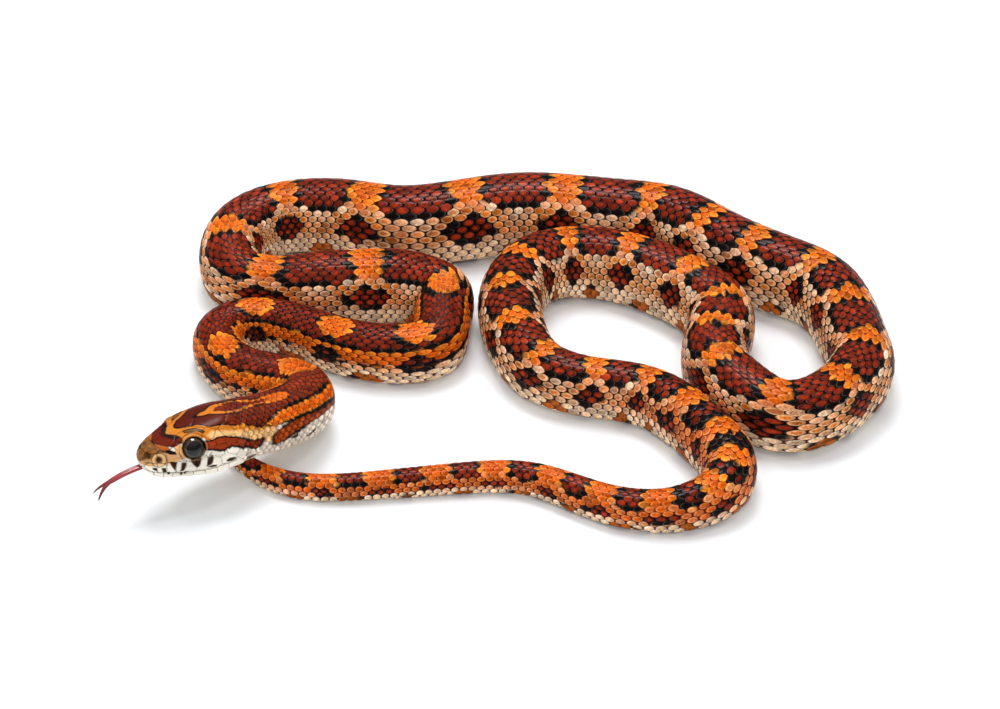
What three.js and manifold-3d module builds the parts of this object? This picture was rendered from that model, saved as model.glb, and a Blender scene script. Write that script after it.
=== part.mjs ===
// An adult corn snake, Pantherophis guttatus, resting in loose coils on a flat floor.
// The head is held just clear of the floor and the forked tongue is out.
// Lengths are in millimetres. +Z is up and the floor is at z = 0.
// A place on the body is given by its distance s behind the snout along the route, and by an
// angle around the section, 0 on the animal's right flank and 90 degrees on the back.
import * as THREE from "three";
import Module from "manifold-3d";

const wasm = await Module();
wasm.setup();

// The route of the body's axis seen from above, from snout to tail tip: the control points
// of one uniform cubic B-spline.
const ROUTE = [
  [-92.3, -69], [-81, -62.5], [-67.2, -54.5], [-49, -39], [-52, -26], [-68, -21],
  [-75, -12], [-79, -1], [-71, 7], [-58, 5], [-40, -8], [-24, -10], [-15.4, -5.8],
  [-16.5, 9.4], [-13.6, 18.1], [-28.6, 21.4], [-48.1, 19.2], [-71.8, 21.5], [-77, 31], [-76, 47],
  [-64, 56], [-45, 56], [-28, 47], [-7, 53], [9, 57], [33, 52], [50, 51], [63, 35],
  [80, 24], [93, 17], [97, -10], [99, -19], [85, -38], [73, -40], [66, -32],
  [55, -16], [62, 1], [60, 11], [43, 27], [26, 34], [11, 32], [2, 19], [3, 1],
  [9, -19], [25, -25], [42, -27], [54, -45], [62, -59], [56, -71], [41, -76],
  [25, -71], [9, -58], [-10, -59], [-31, -62], [-51, -64], [-66, -55], [-75, -39],
  [-85, -34], [-92, -43],
];
// How high the underside is held above the floor at the first control points. The rest lie.
const LIFTS = [10.2, 9.1, 7.9, 4.4, 0.8];
// The middle of the box around the animal, which becomes x = 0, y = 0.
const MIDDLE = [1.13, -6.75];

// The half width of the body at distances behind the snout.
const GIRTH = [
  [0, 7.6], [25, 7.4], [59, 7.4], [109, 6.6], [158, 7.4], [184, 8], [206, 9.4], [220, 9.3],
  [240, 8.1], [264, 8.7], [343, 10.5], [423, 10.2], [502, 8.6], [581, 9.1], [651, 8.9], [700, 7.3],
  [740, 7.4], [779, 5], [829, 3.7], [873, 3.1], [894, 2.4], [914, 1.5], [930, 0.5], [936, 0.4],
];
// The body section, as shares of the half width: a rounded back and a broad flat belly
// with blunt corners, as a rat snake's is.
const CROWN = 2.06;
const WIDEST = 0.9;
const BELLY_DEPTH = 1.04;
const BACK_POWER = 2.15;
const BELLY_POWER = 2.7;
const BODY_SIDES = 16;
const TAIL_SIDES = 12;

// Where the body is parted, as distances behind the snout.
const JOINT_GAP = 0.3;
const HEAD_END = 40;
const NECK_JOINTS = [40, 72.5, 132];
const TRUNK_JOINTS = [132, 180, 226, 262, 310, 376, 434, 501, 561, 614, 664, 734];
const TAIL_JOINTS = [734, 802, 846, 900];

// The belly plates, coarser than life. Each rises towards its free rear edge.
const SCUTE_PITCH = 7.2;
const TAIL_SCUTE_PITCH = 5.4;
const SCUTE_RISE = 0.4;
const SCUTE_STEP = 0.4;
const SCUTE_TOP = -0.1;
const BEND_STEP = 14;

// The head at distances behind the snout: half width, crown, widest height and throat,
// the heights measured up from the throat line.
const HEAD_FORM = [
  [0, 4.1, 9.5, 6.6, 2.9], [3.8, 5.0, 10.6, 6.5, 1.6], [8.6, 6.4, 12.4, 6.7, 1.0],
  [12.9, 7.6, 14.2, 7.3, 0.4], [18.2, 8.7, 15.4, 7.6, 0], [22.9, 9.0, 15.9, 7.6, 0],
  [27.7, 8.0, 15.9, 7.4, 0], [34.4, 7.2, 15.7, 7.0, 0], [44, 7.1, 15.2, 6.6, 0],
];
const HEAD_SIDES = 36;
const HEAD_STEP = 1.15;
const HEAD_ROLL = 6;
const ROLL_HEIGHT = 7;
const SNOUT_LENGTH = 4;
const SNOUT_HEIGHT = 6.3;
const SNOUT_POWER = 2.2;

// The eye, as a ball in a socket, its front seen through the clear scale that covers it.
const EYE_RADIUS = 2.95;
const EYE_AT = [12.9, 5.75, 10.0];
const EYE_AXIS = [-0.16, 0.95, 0.26];
const EYE_BACK = 1.4;
const EYE_GAP = 0.3;

// The nostril and the line of the mouth.
const NOSTRIL_AT = [3.5, 4.1, 7.6];
const NOSTRIL_RADIUS = 0.5;
const NOSTRIL_DEPTH = 1.1;
const MOUTH = [
  [-6, 4.7], [0, 4.6], [1.5, 4.5], [4, 4.2], [8, 3.65], [12, 3.3], [15, 3.4], [19, 3.85],
  [23.4, 4.5],
];
const MOUTH_CORNER = 23.4;
const MOUTH_GAP = 0.3;

// The tongue: distance ahead of the snout, side and height of its axis, and its radius.
const TONGUE_STEM = [
  [-5, 0, 14, 0.8], [-1.5, 0, 14.5, 0.9], [1.5, 0, 14.4, 0.92], [4.5, 0, 14, 0.9],
  [7.3, 0, 13.3, 0.84], [9.2, 0, 12.7, 0.74],
];
const TONGUE_TINE = [
  [8.4, 0.15, 13, 0.6], [10, 0.55, 12.2, 0.5], [11.1, 1, 11.4, 0.4],
  [11.9, 1.4, 10.5, 0.29], [12.5, 1.7, 9.6, 0.16],
];
const TONGUE_FLATNESS = 0.72;

const COLOURS = {
  back: 0x8a2f1a, flank: 0xc87f45, belly: 0xece3d2, head: 0xa85a2c, jaw: 0xeee2cc,
  eye: 0x120d0b, tongue: 0x8c2a2a,
};

const rad = THREE.MathUtils.degToRad;
const smooth = (from, to, x) => THREE.MathUtils.smoothstep(x, from, to);
const bump = (x, middle, width) => Math.exp(-(((x - middle) / width) ** 2));
const power = (x, p) => Math.sign(x) * Math.abs(x) ** p;

// A smooth curve through rows of [x, value] that never overshoots them.
function through(rows, column = 1) {
  const x = rows.map((r) => r[0]);
  const y = rows.map((r) => r[column]);
  const n = x.length;
  const slope = [];
  for (let i = 0; i < n - 1; i++) slope.push((y[i + 1] - y[i]) / (x[i + 1] - x[i]));
  const tangent = [slope[0]];
  for (let i = 1; i < n - 1; i++) {
    const product = slope[i - 1] * slope[i];
    tangent.push(product <= 0 ? 0 : (2 * product) / (slope[i - 1] + slope[i]));
  }
  tangent.push(slope[n - 2]);
  return (at) => {
    const v = Math.min(Math.max(at, x[0]), x[n - 1]);
    let i = 0;
    while (i < n - 2 && v > x[i + 1]) i++;
    const h = x[i + 1] - x[i];
    const t = (v - x[i]) / h;
    const a = (1 + 2 * t) * (1 - t) ** 2 * y[i] + t * (1 - t) ** 2 * h * tangent[i];
    const b = t * t * (3 - 2 * t) * y[i + 1] + t * t * (t - 1) * h * tangent[i + 1];
    return a + b;
  };
}

// The route as a dense row of points with their distances.
function walk(control) {
  const rows = control.map((c, i) => [c[0] - MIDDLE[0], c[1] - MIDDLE[1], LIFTS[i] ?? 0]);
  const ahead = rows[0].map((v, k) => 2 * v - rows[1][k]);
  const last = rows.length - 1;
  const behind = rows[last].map((v, k) => 2 * v - rows[last - 1][k]);
  const c = [ahead, ...rows, behind];
  const steps = 40;
  const points = [];
  for (let i = 0; i < c.length - 3; i++) {
    for (let j = 0; j < steps + (i === c.length - 4 ? 1 : 0); j++) {
      const u = j / steps;
      const w = [(1 - u) ** 3, 3 * u ** 3 - 6 * u * u + 4, -3 * u ** 3 + 3 * u * u + 3 * u + 1, u ** 3];
      points.push([0, 1, 2].map((k) => w.reduce((sum, x, m) => sum + (x * c[i + m][k]) / 6, 0)));
    }
  }
  const far = [0];
  for (let i = 1; i < points.length; i++) {
    const [a, b] = [points[i - 1], points[i]];
    far.push(far[i - 1] + Math.hypot(b[0] - a[0], b[1] - a[1]));
  }
  return { points, far };
}
const PATH = walk(ROUTE);
const LENGTH = PATH.far[PATH.far.length - 1];

// The axis at a distance behind the snout: place, direction towards the tail and lift.
function axis(s) {
  const { points, far } = PATH;
  const inside = Math.min(Math.max(s, 0), LENGTH);
  let low = 0;
  let high = far.length - 1;
  while (high - low > 1) {
    const middle = (low + high) >> 1;
    if (far[middle] <= inside) low = middle;
    else high = middle;
  }
  const mix = (k) => {
    const t = (inside - far[low]) / (far[high] - far[low]);
    return points[low][k] * (1 - t) + points[high][k] * t;
  };
  const before = points[Math.max(low - 1, 0)];
  const after = points[Math.min(high + 1, points.length - 1)];
  const way = new THREE.Vector2(after[0] - before[0], after[1] - before[1]).normalize();
  const beyond = s - inside;
  return { x: mix(0) + way.x * beyond, y: mix(1) + way.y * beyond, lift: mix(2), way };
}
const heading = (s) => {
  const { way } = axis(s);
  return Math.atan2(way.y, way.x);
};
function turn(from, to) {
  let sum = 0;
  for (let s = from; s < to; s += 1) {
    const d = heading(Math.min(s + 1, to)) - heading(s);
    sum += Math.abs(Math.atan2(Math.sin(d), Math.cos(d)));
  }
  return THREE.MathUtils.radToDeg(sum);
}

const halfWidth = through(GIRTH);

// One point of the body section, side and height.
function bodyPoint(s, angle) {
  const a = halfWidth(s);
  const c = Math.cos(angle);
  const n = Math.sin(angle);
  if (n >= 0) {
    const side = a * power(c, 2 / BACK_POWER);
    return [side, a * (WIDEST + (CROWN - WIDEST) * power(n, 2 / BACK_POWER))];
  }
  const side = a * power(c, 2 / BELLY_POWER);
  const height = a * (WIDEST - BELLY_DEPTH * power(-n, 2 / BELLY_POWER));
  return [side, Math.max(height, 0)];
}

const headWidth = through(HEAD_FORM, 1);
const headCrown = through(HEAD_FORM, 2);
const headWidest = through(HEAD_FORM, 3);
const headThroat = through(HEAD_FORM, 4);
const crownPower = through([[0, 2.3], [5, 2.7], [16, 2.7], [26, 2.3], [36, 2.15]]);
const throatPower = through([[0, 2.2], [5, 2.5], [16, 2.6], [26, 2.6], [36, 2.7]]);
const mouthHeight = through(MOUTH);

// The relief of the head, outwards: brow, ridge from nostril to brow, hollow before the eye,
// lips, jaw muscles and the furrow below them.
function relief(s, angle) {
  const across = Math.cos(angle);
  const degrees = THREE.MathUtils.radToDeg(Math.atan2(Math.sin(angle), Math.abs(across)));
  const brow = 0.5 * bump(s, 12.4, 4.2) * bump(degrees, 52, 13);
  const ridge = 0.3 * smooth(2, 5, s) * (1 - smooth(9, 12, s)) * bump(degrees, 50, 12);
  const hollow = -0.55 * bump(s, 7.6, 2.2) * bump(degrees, 17, 15);
  const temple = -0.3 * bump(s, 19, 3.4) * bump(degrees, 34, 14);
  const upperLip = 0.3 * smooth(1, 5, s) * (1 - smooth(17, 22, s)) * bump(degrees, -14, 10);
  const lowerLip = 0.5 * smooth(2, 6, s) * (1 - smooth(19, 23, s)) * bump(degrees, -42, 12);
  const crownGroove = -0.18 * bump(s, 20, 5) * bump(degrees, 90, 14);
  return brow + ridge + hollow + temple + upperLip + lowerLip + crownGroove;
}

// One point of the head section, side and height above the throat line.
function headPoint(s, angle) {
  const back = THREE.MathUtils.clamp(1 - s / SNOUT_LENGTH, 0, 1);
  const round = (1 - back ** SNOUT_POWER) ** (1 / SNOUT_POWER);
  const near = (v) => SNOUT_HEIGHT + (v - SNOUT_HEIGHT) * round;
  const half = headWidth(s) * round;
  const crown = near(headCrown(s));
  const throat = near(headThroat(s));
  const middle = near(headWidest(s));
  const c = Math.cos(angle);
  const n = Math.sin(angle);
  const p = 2 / (n >= 0 ? crownPower(s) : throatPower(s));
  const side = half * power(c, p);
  const height = middle + (n >= 0 ? crown - middle : middle - throat) * power(n, p);
  const out = relief(s, angle) * round;
  const far = Math.hypot(side, height - middle) || 1;
  return [side * (1 + out / far), middle + (height - middle) * (1 + out / far)];
}

// A point beside the axis, in the animal's own space. The head leans a little to one side.
function place(s, side, height, frame = axis(s)) {
  const lean = rad(HEAD_ROLL) * (1 - smooth(22, 46, s));
  const up = height - ROLL_HEIGHT;
  const y = side * Math.cos(lean) + up * Math.sin(lean);
  const z = height + up * (Math.cos(lean) - 1) - side * Math.sin(lean);
  return new THREE.Vector3(
    frame.x - frame.way.y * y,
    frame.y + frame.way.x * y,
    frame.lift + z,
  );
}

const angleOf = (i, sides) => -Math.PI / 2 + ((i + 0.5) * 2 * Math.PI) / sides;

// One ring of the skin. The belly edge is pushed out by the plates' rise.
function ring(s, sides, rise, frame = axis(s)) {
  const points = [];
  const neck = smooth(28, 42, s);
  for (let i = 0; i < sides; i++) {
    const angle = angleOf(i, sides);
    const body = bodyPoint(s, angle);
    let [side, height] = body;
    if (neck < 1) {
      const head = headPoint(s, angle);
      side = head[0] * (1 - neck) + body[0] * neck;
      height = head[1] * (1 - neck) + body[1] * neck;
    }
    if (rise && Math.sin(angle) < SCUTE_TOP) {
      const share = Math.min(1, (SCUTE_TOP - Math.sin(angle)) / 0.25);
      side += Math.sign(side) * rise * share * smooth(0, 0.5, Math.abs(Math.cos(angle)));
      const down = height > 0.02 ? 0.5 * rise * share * (1 - Math.abs(Math.cos(angle))) : 0;
      height = Math.max(height - down, Math.min(height, 0));
    }
    points.push(place(s, side, height, frame));
  }
  return points;
}

// A closed solid from a row of rings with the same number of points, flat at both ends.
function loft(rings) {
  const n = rings[0].length;
  const vertProperties = new Float32Array(rings.length * n * 3);
  rings.flat().forEach((p, i) => vertProperties.set([p.x, p.y, p.z], i * 3));
  const faces = [];
  for (let r = 0; r < rings.length - 1; r++) {
    for (let i = 0; i < n; i++) {
      const j = (i + 1) % n;
      const [a, b, c, d] = [r * n + i, r * n + j, (r + 1) * n + i, (r + 1) * n + j];
      if (r % 2) faces.push(a, d, b, a, c, d);
      else faces.push(a, c, b, b, c, d);
    }
  }
  const last = (rings.length - 1) * n;
  for (let i = 1; i < n - 1; i++) {
    faces.push(0, i, i + 1);
    faces.push(last, last + i + 1, last + i);
  }
  const build = (list) =>
    new wasm.Manifold(
      new wasm.Mesh({ numProp: 3, vertProperties, triVerts: Uint32Array.from(list) }),
    );
  const solid = build(faces);
  if (solid.volume() > 0) return solid;
  const turned = [];
  for (let i = 0; i < faces.length; i += 3) turned.push(faces[i], faces[i + 2], faces[i + 1]);
  return build(turned);
}

// The distances of the rings of one stretch of skin, with the rise of the belly plates.
function stations(from, to, pitch) {
  const count = Math.max(1, Math.round((to - from) / pitch));
  const list = [];
  for (let k = 0; k < count; k++) {
    const a = from + ((to - from) * k) / count + (k ? SCUTE_STEP / 2 : 0);
    const b = from + ((to - from) * (k + 1)) / count - (k < count - 1 ? SCUTE_STEP / 2 : 0);
    const parts = Math.max(1, Math.ceil(turn(a, b) / BEND_STEP));
    for (let m = 0; m <= parts; m++) {
      list.push([a + ((b - a) * m) / parts, (SCUTE_RISE * m) / parts]);
    }
  }
  return list;
}

// One length of the body between two joints. Both faces of a joint are square to the axis.
function stretch(from, to, pitch, sides, isTip = false) {
  const list = stations(from, to, pitch);
  return loft(
    list.map(([s, rise], k) => {
      const size = Math.min(1, halfWidth(s) / 5);
      if (k === 0) return ring(s, sides, 0, faceFrame(from, JOINT_GAP / 2));
      if (k === list.length - 1 && !isTip) {
        return ring(s, sides, rise * size, faceFrame(to, -JOINT_GAP / 2));
      }
      return ring(s, sides, rise * size);
    }),
  );
}
function faceFrame(s, shift) {
  const frame = axis(s);
  return { ...frame, x: frame.x + frame.way.x * shift, y: frame.y + frame.way.y * shift };
}

// A round solid about an axis in the head's space, from rows of [distance along it, radius].
function turned(centre, direction, rows, sides) {
  const along = headVector(centre, direction);
  const middle = place(...centre);
  const across = new THREE.Vector3(0, 0, 1).cross(along).normalize();
  const other = along.clone().cross(across);
  return loft(
    rows.map(([far, radius]) => {
      const points = [];
      for (let i = 0; i < sides; i++) {
        const a = (i * 2 * Math.PI) / sides;
        points.push(
          middle
            .clone()
            .addScaledVector(along, far)
            .addScaledVector(across, radius * Math.cos(a))
            .addScaledVector(other, radius * Math.sin(a)),
        );
      }
      return points;
    }),
  );
}
function headVector(centre, direction) {
  const [s, side, height] = centre;
  const end = place(s + direction[0], side + direction[1], height + direction[2]);
  return end.sub(place(...centre)).normalize();
}

const mirrored = ([s, side, height], sign) => [s, side * sign, height];

// The eyeball, flat behind, and the socket around it.
function eye(sign) {
  const rows = [[-EYE_BACK, Math.sqrt(EYE_RADIUS ** 2 - EYE_BACK ** 2)]];
  const steps = 9;
  const start = Math.asin(-EYE_BACK / EYE_RADIUS);
  for (let k = 1; k <= steps; k++) {
    const a = start + ((rad(86) - start) * k) / steps;
    rows.push([EYE_RADIUS * Math.sin(a), EYE_RADIUS * Math.cos(a)]);
  }
  return turned(mirrored(EYE_AT, sign), mirrored(EYE_AXIS, sign), rows, 24);
}
function socket(sign) {
  const outer = EYE_RADIUS + EYE_GAP;
  const rows = [[-EYE_BACK - EYE_GAP, Math.sqrt(outer ** 2 - (EYE_BACK + EYE_GAP) ** 2)]];
  for (let k = 1; k <= 4; k++) {
    const a = Math.asin(-(EYE_BACK + EYE_GAP) / outer) * (1 - k / 4);
    rows.push([outer * Math.sin(a), outer * Math.cos(a)]);
  }
  rows.push([EYE_RADIUS * 1.6, outer * 0.99]);
  return turned(mirrored(EYE_AT, sign), mirrored(EYE_AXIS, sign), rows, 24);
}
function nostril(sign) {
  const rows = [[-NOSTRIL_DEPTH, NOSTRIL_RADIUS * 0.7], [1.6, NOSTRIL_RADIUS * 1.2]];
  return turned(mirrored(NOSTRIL_AT, sign), [-0.35, sign, 0.25], rows, 8);
}

// Everything under the line of the mouth, back to its corner.
function underMouth(shift, end) {
  const rings = [];
  const start = -6;
  const count = 16;
  for (let k = 0; k <= count; k++) {
    const s = start + ((end - start) * k) / count;
    const top = mouthHeight(s) + shift;
    rings.push([
      place(s, -18, -6), place(s, 18, -6), place(s, 18, top), place(s, -18, top),
    ]);
  }
  return loft(rings);
}

// A tapering strand from rows of [ahead of the snout, side, height, radius].
function strand(rows, sign, grow, sides) {
  const front = axis(0);
  const at = (far, side, height) =>
    new THREE.Vector3(
      front.x - front.way.x * far - front.way.y * side * sign,
      front.y - front.way.y * far + front.way.x * side * sign,
      height,
    );
  const points = rows.map(([far, side, height]) => at(far, side, height));
  return loft(
    points.map((p, k) => {
      const next = points[Math.min(k + 1, points.length - 1)];
      const before = points[Math.max(k - 1, 0)];
      const along = next.clone().sub(before).normalize();
      const across = new THREE.Vector3(0, 0, 1).cross(along).normalize();
      const up = along.clone().cross(across);
      const wide = rows[k][3] + grow;
      const thick = rows[k][3] * TONGUE_FLATNESS + grow;
      const ringPoints = [];
      for (let i = 0; i < sides; i++) {
        const a = ((i + 0.5) * 2 * Math.PI) / sides;
        ringPoints.push(
          p.clone().addScaledVector(across, wide * Math.cos(a)).addScaledVector(up, thick * Math.sin(a)),
        );
      }
      return ringPoints;
    }),
  );
}

const largest = (solid) =>
  solid.decompose().reduce((a, b) => (a.volume() > b.volume() ? a : b));

const object = new THREE.Group();
object.name = "corn_snake";

function addNode(name, solid, colour) {
  const mesh = solid.getMesh();
  const geometry = new THREE.BufferGeometry();
  const count = mesh.numVert;
  const position = new Float32Array(count * 3);
  for (let i = 0; i < count; i++) {
    const from = i * mesh.numProp;
    position.set(mesh.vertProperties.subarray(from, from + 3), i * 3);
  }
  geometry.setAttribute("position", new THREE.BufferAttribute(position, 3));
  geometry.setIndex(new THREE.BufferAttribute(mesh.triVerts, 1));
  const material = new THREE.MeshStandardMaterial({ color: colour, roughness: 0.35 });
  const node = new THREE.Mesh(geometry, material);
  node.name = name;
  object.add(node);
}

function headRings() {
  const list = [0.02, 0.15, 0.45, 0.95, 1.6, 2.4];
  const count = Math.round((HEAD_END - 3.3) / HEAD_STEP);
  for (let k = 0; k <= count; k++) list.push(3.3 + ((HEAD_END - 3.3) * k) / count);
  return list.map((s, k) =>
    k === list.length - 1
      ? ring(s, HEAD_SIDES, 0, faceFrame(s, -JOINT_GAP / 2))
      : ring(s, HEAD_SIDES, 0),
  );
}

const tongueHollow = strand(TONGUE_STEM.slice(0, 4), 1, 0.3, 8);
const whole = loft(headRings())
  .subtract(socket(1))
  .subtract(socket(-1))
  .subtract(nostril(1))
  .subtract(nostril(-1))
  .subtract(tongueHollow);
const cranium = whole.subtract(underMouth(MOUTH_GAP / 2, MOUTH_CORNER + MOUTH_GAP / 2));
const mandible = whole.intersect(underMouth(-MOUTH_GAP / 2, MOUTH_CORNER - MOUTH_GAP / 2));
addNode("head", largest(cranium), COLOURS.head);
addNode("lower_jaw", largest(mandible), COLOURS.jaw);
addNode("eye_left", eye(-1), COLOURS.eye);
addNode("eye_right", eye(1), COLOURS.eye);
const tongue = strand(TONGUE_STEM, 1, 0, 8)
  .add(strand(TONGUE_TINE, 1, 0, 6))
  .add(strand(TONGUE_TINE, -1, 0, 6));
addNode("tongue", largest(tongue), COLOURS.tongue);

function addStretches(names, joints, pitch, sides, colour) {
  for (let k = 0; k < joints.length - 1; k++) {
    addNode(names(k + 1), stretch(joints[k], joints[k + 1], pitch, sides), colour);
  }
}
const twoDigits = (k) => String(k).padStart(2, "0");
addStretches((k) => "neck_" + k, NECK_JOINTS, SCUTE_PITCH, BODY_SIDES, COLOURS.flank);
addStretches((k) => "body_" + twoDigits(k), TRUNK_JOINTS, SCUTE_PITCH, BODY_SIDES, COLOURS.back);
addStretches((k) => "tail_" + k, TAIL_JOINTS, TAIL_SCUTE_PITCH, TAIL_SIDES, COLOURS.flank);
const tipStart = TAIL_JOINTS[TAIL_JOINTS.length - 1];
addNode("tail_tip", stretch(tipStart, LENGTH, TAIL_SCUTE_PITCH, TAIL_SIDES, true), COLOURS.belly);

export default object;
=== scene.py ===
"""A corn snake, Pantherophis guttatus, life size, resting in loose coils with its tongue out.

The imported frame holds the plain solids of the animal. This script dresses them: one skin
over all the flesh, overlapping scales on the back and flanks, belly plates, plates and
markings on the head, eyes, tongue, floor, light and camera. Tables hold millimetres, and
meshes are made in metres in the frame's own space, +Z up, floor at z = 0.

A place on the body is (s, phi): s is the distance behind the snout along the route of the
body, phi the angle around its section, 90 degrees on the back. An angle a is counted in
degrees down from the back on either side, and t is the share of the way round the flank,
0 on the back and +1 or -1 where the belly plates begin. A mark is a distance in mm inside
its outline, and is laid over three layers: fill, rim and the gap between scales.
"""

import bpy
import numpy as np
from bpy.props import FloatProperty, FloatVectorProperty, IntProperty, PointerProperty
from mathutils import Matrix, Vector


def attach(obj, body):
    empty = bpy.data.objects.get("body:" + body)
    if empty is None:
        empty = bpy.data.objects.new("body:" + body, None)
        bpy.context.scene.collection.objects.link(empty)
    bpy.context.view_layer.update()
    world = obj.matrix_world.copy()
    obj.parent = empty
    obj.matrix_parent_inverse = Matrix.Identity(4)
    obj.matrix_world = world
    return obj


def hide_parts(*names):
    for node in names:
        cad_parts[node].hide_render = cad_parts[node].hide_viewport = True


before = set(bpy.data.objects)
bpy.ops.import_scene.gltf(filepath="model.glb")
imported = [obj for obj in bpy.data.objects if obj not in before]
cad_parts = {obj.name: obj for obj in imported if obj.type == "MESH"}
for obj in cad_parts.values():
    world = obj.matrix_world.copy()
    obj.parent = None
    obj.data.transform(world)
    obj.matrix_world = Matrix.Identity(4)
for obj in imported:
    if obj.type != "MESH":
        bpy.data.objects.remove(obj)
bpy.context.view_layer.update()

bl_info = {
    "name": "Corn snake",
    "version": (1, 0, 0),
    "blender": (4, 5, 0),
    "location": "3D View > Sidebar > Corn snake",
    "description": "Builds a life-size corn snake over its packed solids",
    "category": "Object",
}

MM = 0.001

# The route of the body's axis seen from above, control points of a uniform cubic B-spline.
MIDDLE = (1.13, -6.75)
ROUTE = (
    (-92.3, -69), (-81, -62.5), (-67.2, -54.5), (-49, -39), (-52, -26), (-68, -21),
    (-75, -12), (-79, -1), (-71, 7), (-58, 5), (-40, -8), (-24, -10), (-15.4, -5.8),
    (-16.5, 9.4), (-13.6, 18.1), (-28.6, 21.4), (-48.1, 19.2), (-71.8, 21.5), (-77, 31),
    (-76, 47),
    (-64, 56), (-45, 56), (-28, 47), (-7, 53), (9, 57), (33, 52), (50, 51), (63, 35),
    (80, 24), (93, 17), (97, -10), (99, -19), (85, -38), (73, -40), (66, -32),
    (55, -16), (62, 1), (60, 11), (43, 27), (26, 34), (11, 32), (2, 19), (3, 1),
    (9, -19), (25, -25), (42, -27), (54, -45), (62, -59), (56, -71), (41, -76),
    (25, -71), (9, -58), (-10, -59), (-31, -62), (-51, -64), (-66, -55), (-75, -39),
    (-85, -34), (-92, -43),
)
LIFTS = (10.2, 9.1, 7.9, 4.4, 0.8)
# Distance behind the snout and half width of the body.
GIRTH = (
    (0, 7.6), (25, 7.4), (59, 7.4), (109, 6.6), (158, 7.4), (184, 8), (206, 9.4), (220, 9.3),
    (240, 8.1), (264, 8.7), (343, 10.5), (423, 10.2), (502, 8.6), (581, 9.1), (651, 8.9),
    (700, 7.3),
    (740, 7.4), (779, 5), (829, 3.7), (873, 3.1), (894, 2.4), (914, 1.5), (930, 0.5), (936, 0.4),
)
# Distance behind the snout, half width, crown, widest height and throat of the head.
HEAD_FORM = (
    (0, 4.1, 9.5, 6.6, 2.9), (3.8, 5.0, 10.6, 6.5, 1.6), (8.6, 6.4, 12.4, 6.7, 1.0),
    (12.9, 7.6, 14.2, 7.3, 0.4), (18.2, 8.7, 15.4, 7.6, 0), (22.9, 9.0, 15.9, 7.6, 0),
    (27.7, 8.0, 15.9, 7.4, 0), (34.4, 7.2, 15.7, 7.0, 0), (44, 7.1, 15.2, 6.6, 0),
)
CROWN_POWER = ((0, 2.3), (5, 2.7), (16, 2.7), (26, 2.3), (36, 2.15))
THROAT_POWER = ((0, 2.2), (5, 2.5), (16, 2.6), (26, 2.6), (36, 2.7))
MOUTH = (
    (-6, 4.7), (0, 4.6), (1.5, 4.5), (4, 4.2), (8, 3.65), (12, 3.3), (15, 3.4),
    (19, 3.85), (23.4, 4.5),
)
# Ahead of the snout, side, height and radius along the tongue and along one of its tips.
TONGUE_STEM = (
    (-5, 0, 14, 0.8), (-1.5, 0, 14.5, 0.9), (1.5, 0, 14.4, 0.92), (4.5, 0, 14, 0.9),
    (7.3, 0, 13.3, 0.84), (9.2, 0, 12.7, 0.74),
)
TONGUE_TINE = (
    (8.4, 0.15, 13, 0.6), (10, 0.55, 12.2, 0.5), (11.1, 1, 11.4, 0.4),
    (11.9, 1.4, 10.5, 0.29), (12.5, 1.7, 9.6, 0.16),
)
# The middles of the orange bars between the saddles, behind the snout.
BARS = (
    63, 87, 113, 139, 160, 184, 211, 239, 262, 285, 310, 338, 368, 393, 412, 428, 448, 465,
    484, 502, 521, 542, 557, 569, 584, 605, 623, 639, 653, 669, 684, 699, 714, 728, 744, 754,
    764, 778, 793, 808, 824, 839, 854, 869, 883, 896, 908, 918, 927,
)
# Length of a dorsal scale's step along its row, and how many rows go round the back.
SCALE_STEP = (
    (24, 1.6), (45, 1.8), (70, 2.3), (110, 2.7), (200, 3.0), (350, 3.6), (500, 3.3), (650, 3.1),
    (740, 2.8), (800, 2.5), (870, 2.1), (928, 1.5),
)
SCALE_ROWS = (
    (24, 25), (150, 27), (480, 27), (640, 23), (738, 19), (800, 14), (880, 10), (928, 6),
)
# Turn of the back's middle line about the axis, in degrees, as the body lies.
TWIST = (
    (0, 0), (16, 0), (27, 6), (34, 10), (44, 10), (52, 6), (63, 3), (87, -12), (113, 6),
    (139, 12), (160, 9), (185, 0), (214, -10), (239, -10), (262, -4), (285, 5), (310, 3),
    (338, 1), (368, 4), (393, 8), (428, 3), (456, -6), (484, -2), (511, -8), (546, -8), (569, 4),
    (596, 5), (623, -1), (646, 9), (669, 10), (691, 4), (714, -8), (741, -8), (766, -6),
    (793, -12), (816, -12), (846, -8), (876, 0), (928, 0),
)
# Outlines of the head's markings, (s, angle from the back's middle line). Both sides are
# alike, and an angle below 0 only carries an outline over the middle.
SNOUT = (
    (-1, -30), (6, -30), (6, 6), (5.6, 14), (6.2, 22), (6.8, 34), (7, 50), (6, 62),
    (4.8, 76), (2.6, 90), (-1, 100),
)
SNOUT_SPOT = ((0.9, 20), (2.0, 15), (2.4, 38), (1.9, 58), (1.2, 44))
PREFRONTAL = (
    (4.6, -30), (4.6, -4), (4.4, 4), (5.4, 21), (6.4, 36), (8, 48), (9.4, 46), (10.6, 48),
    (11.2, 36), (10.7, 28), (9.9, 16), (8.8, 5), (8.2, 0), (8.2, -30),
)
LOREAL = (
    (4.4, 48), (6, 56), (8, 62), (10.5, 62), (10.8, 84), (8, 88), (5, 91), (3.4, 90), (4.4, 70),
)
LOREAL_STRIPE = (
    (4.2, 6), (5.3, 23), (6.4, 38), (7, 49), (7.1, 56), (5.6, 49), (4.6, 35), (4.2, 22),
)
LOREAL_SPOT = ((5.9, 47), (7, 52), (8.2, 62), (8.3, 71), (6.8, 66), (6, 58))
PREOCULAR = ((8.3, 46), (9.8, 48), (10.8, 50), (10.6, 64), (10.6, 76), (9.4, 72), (8.2, 64))
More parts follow.
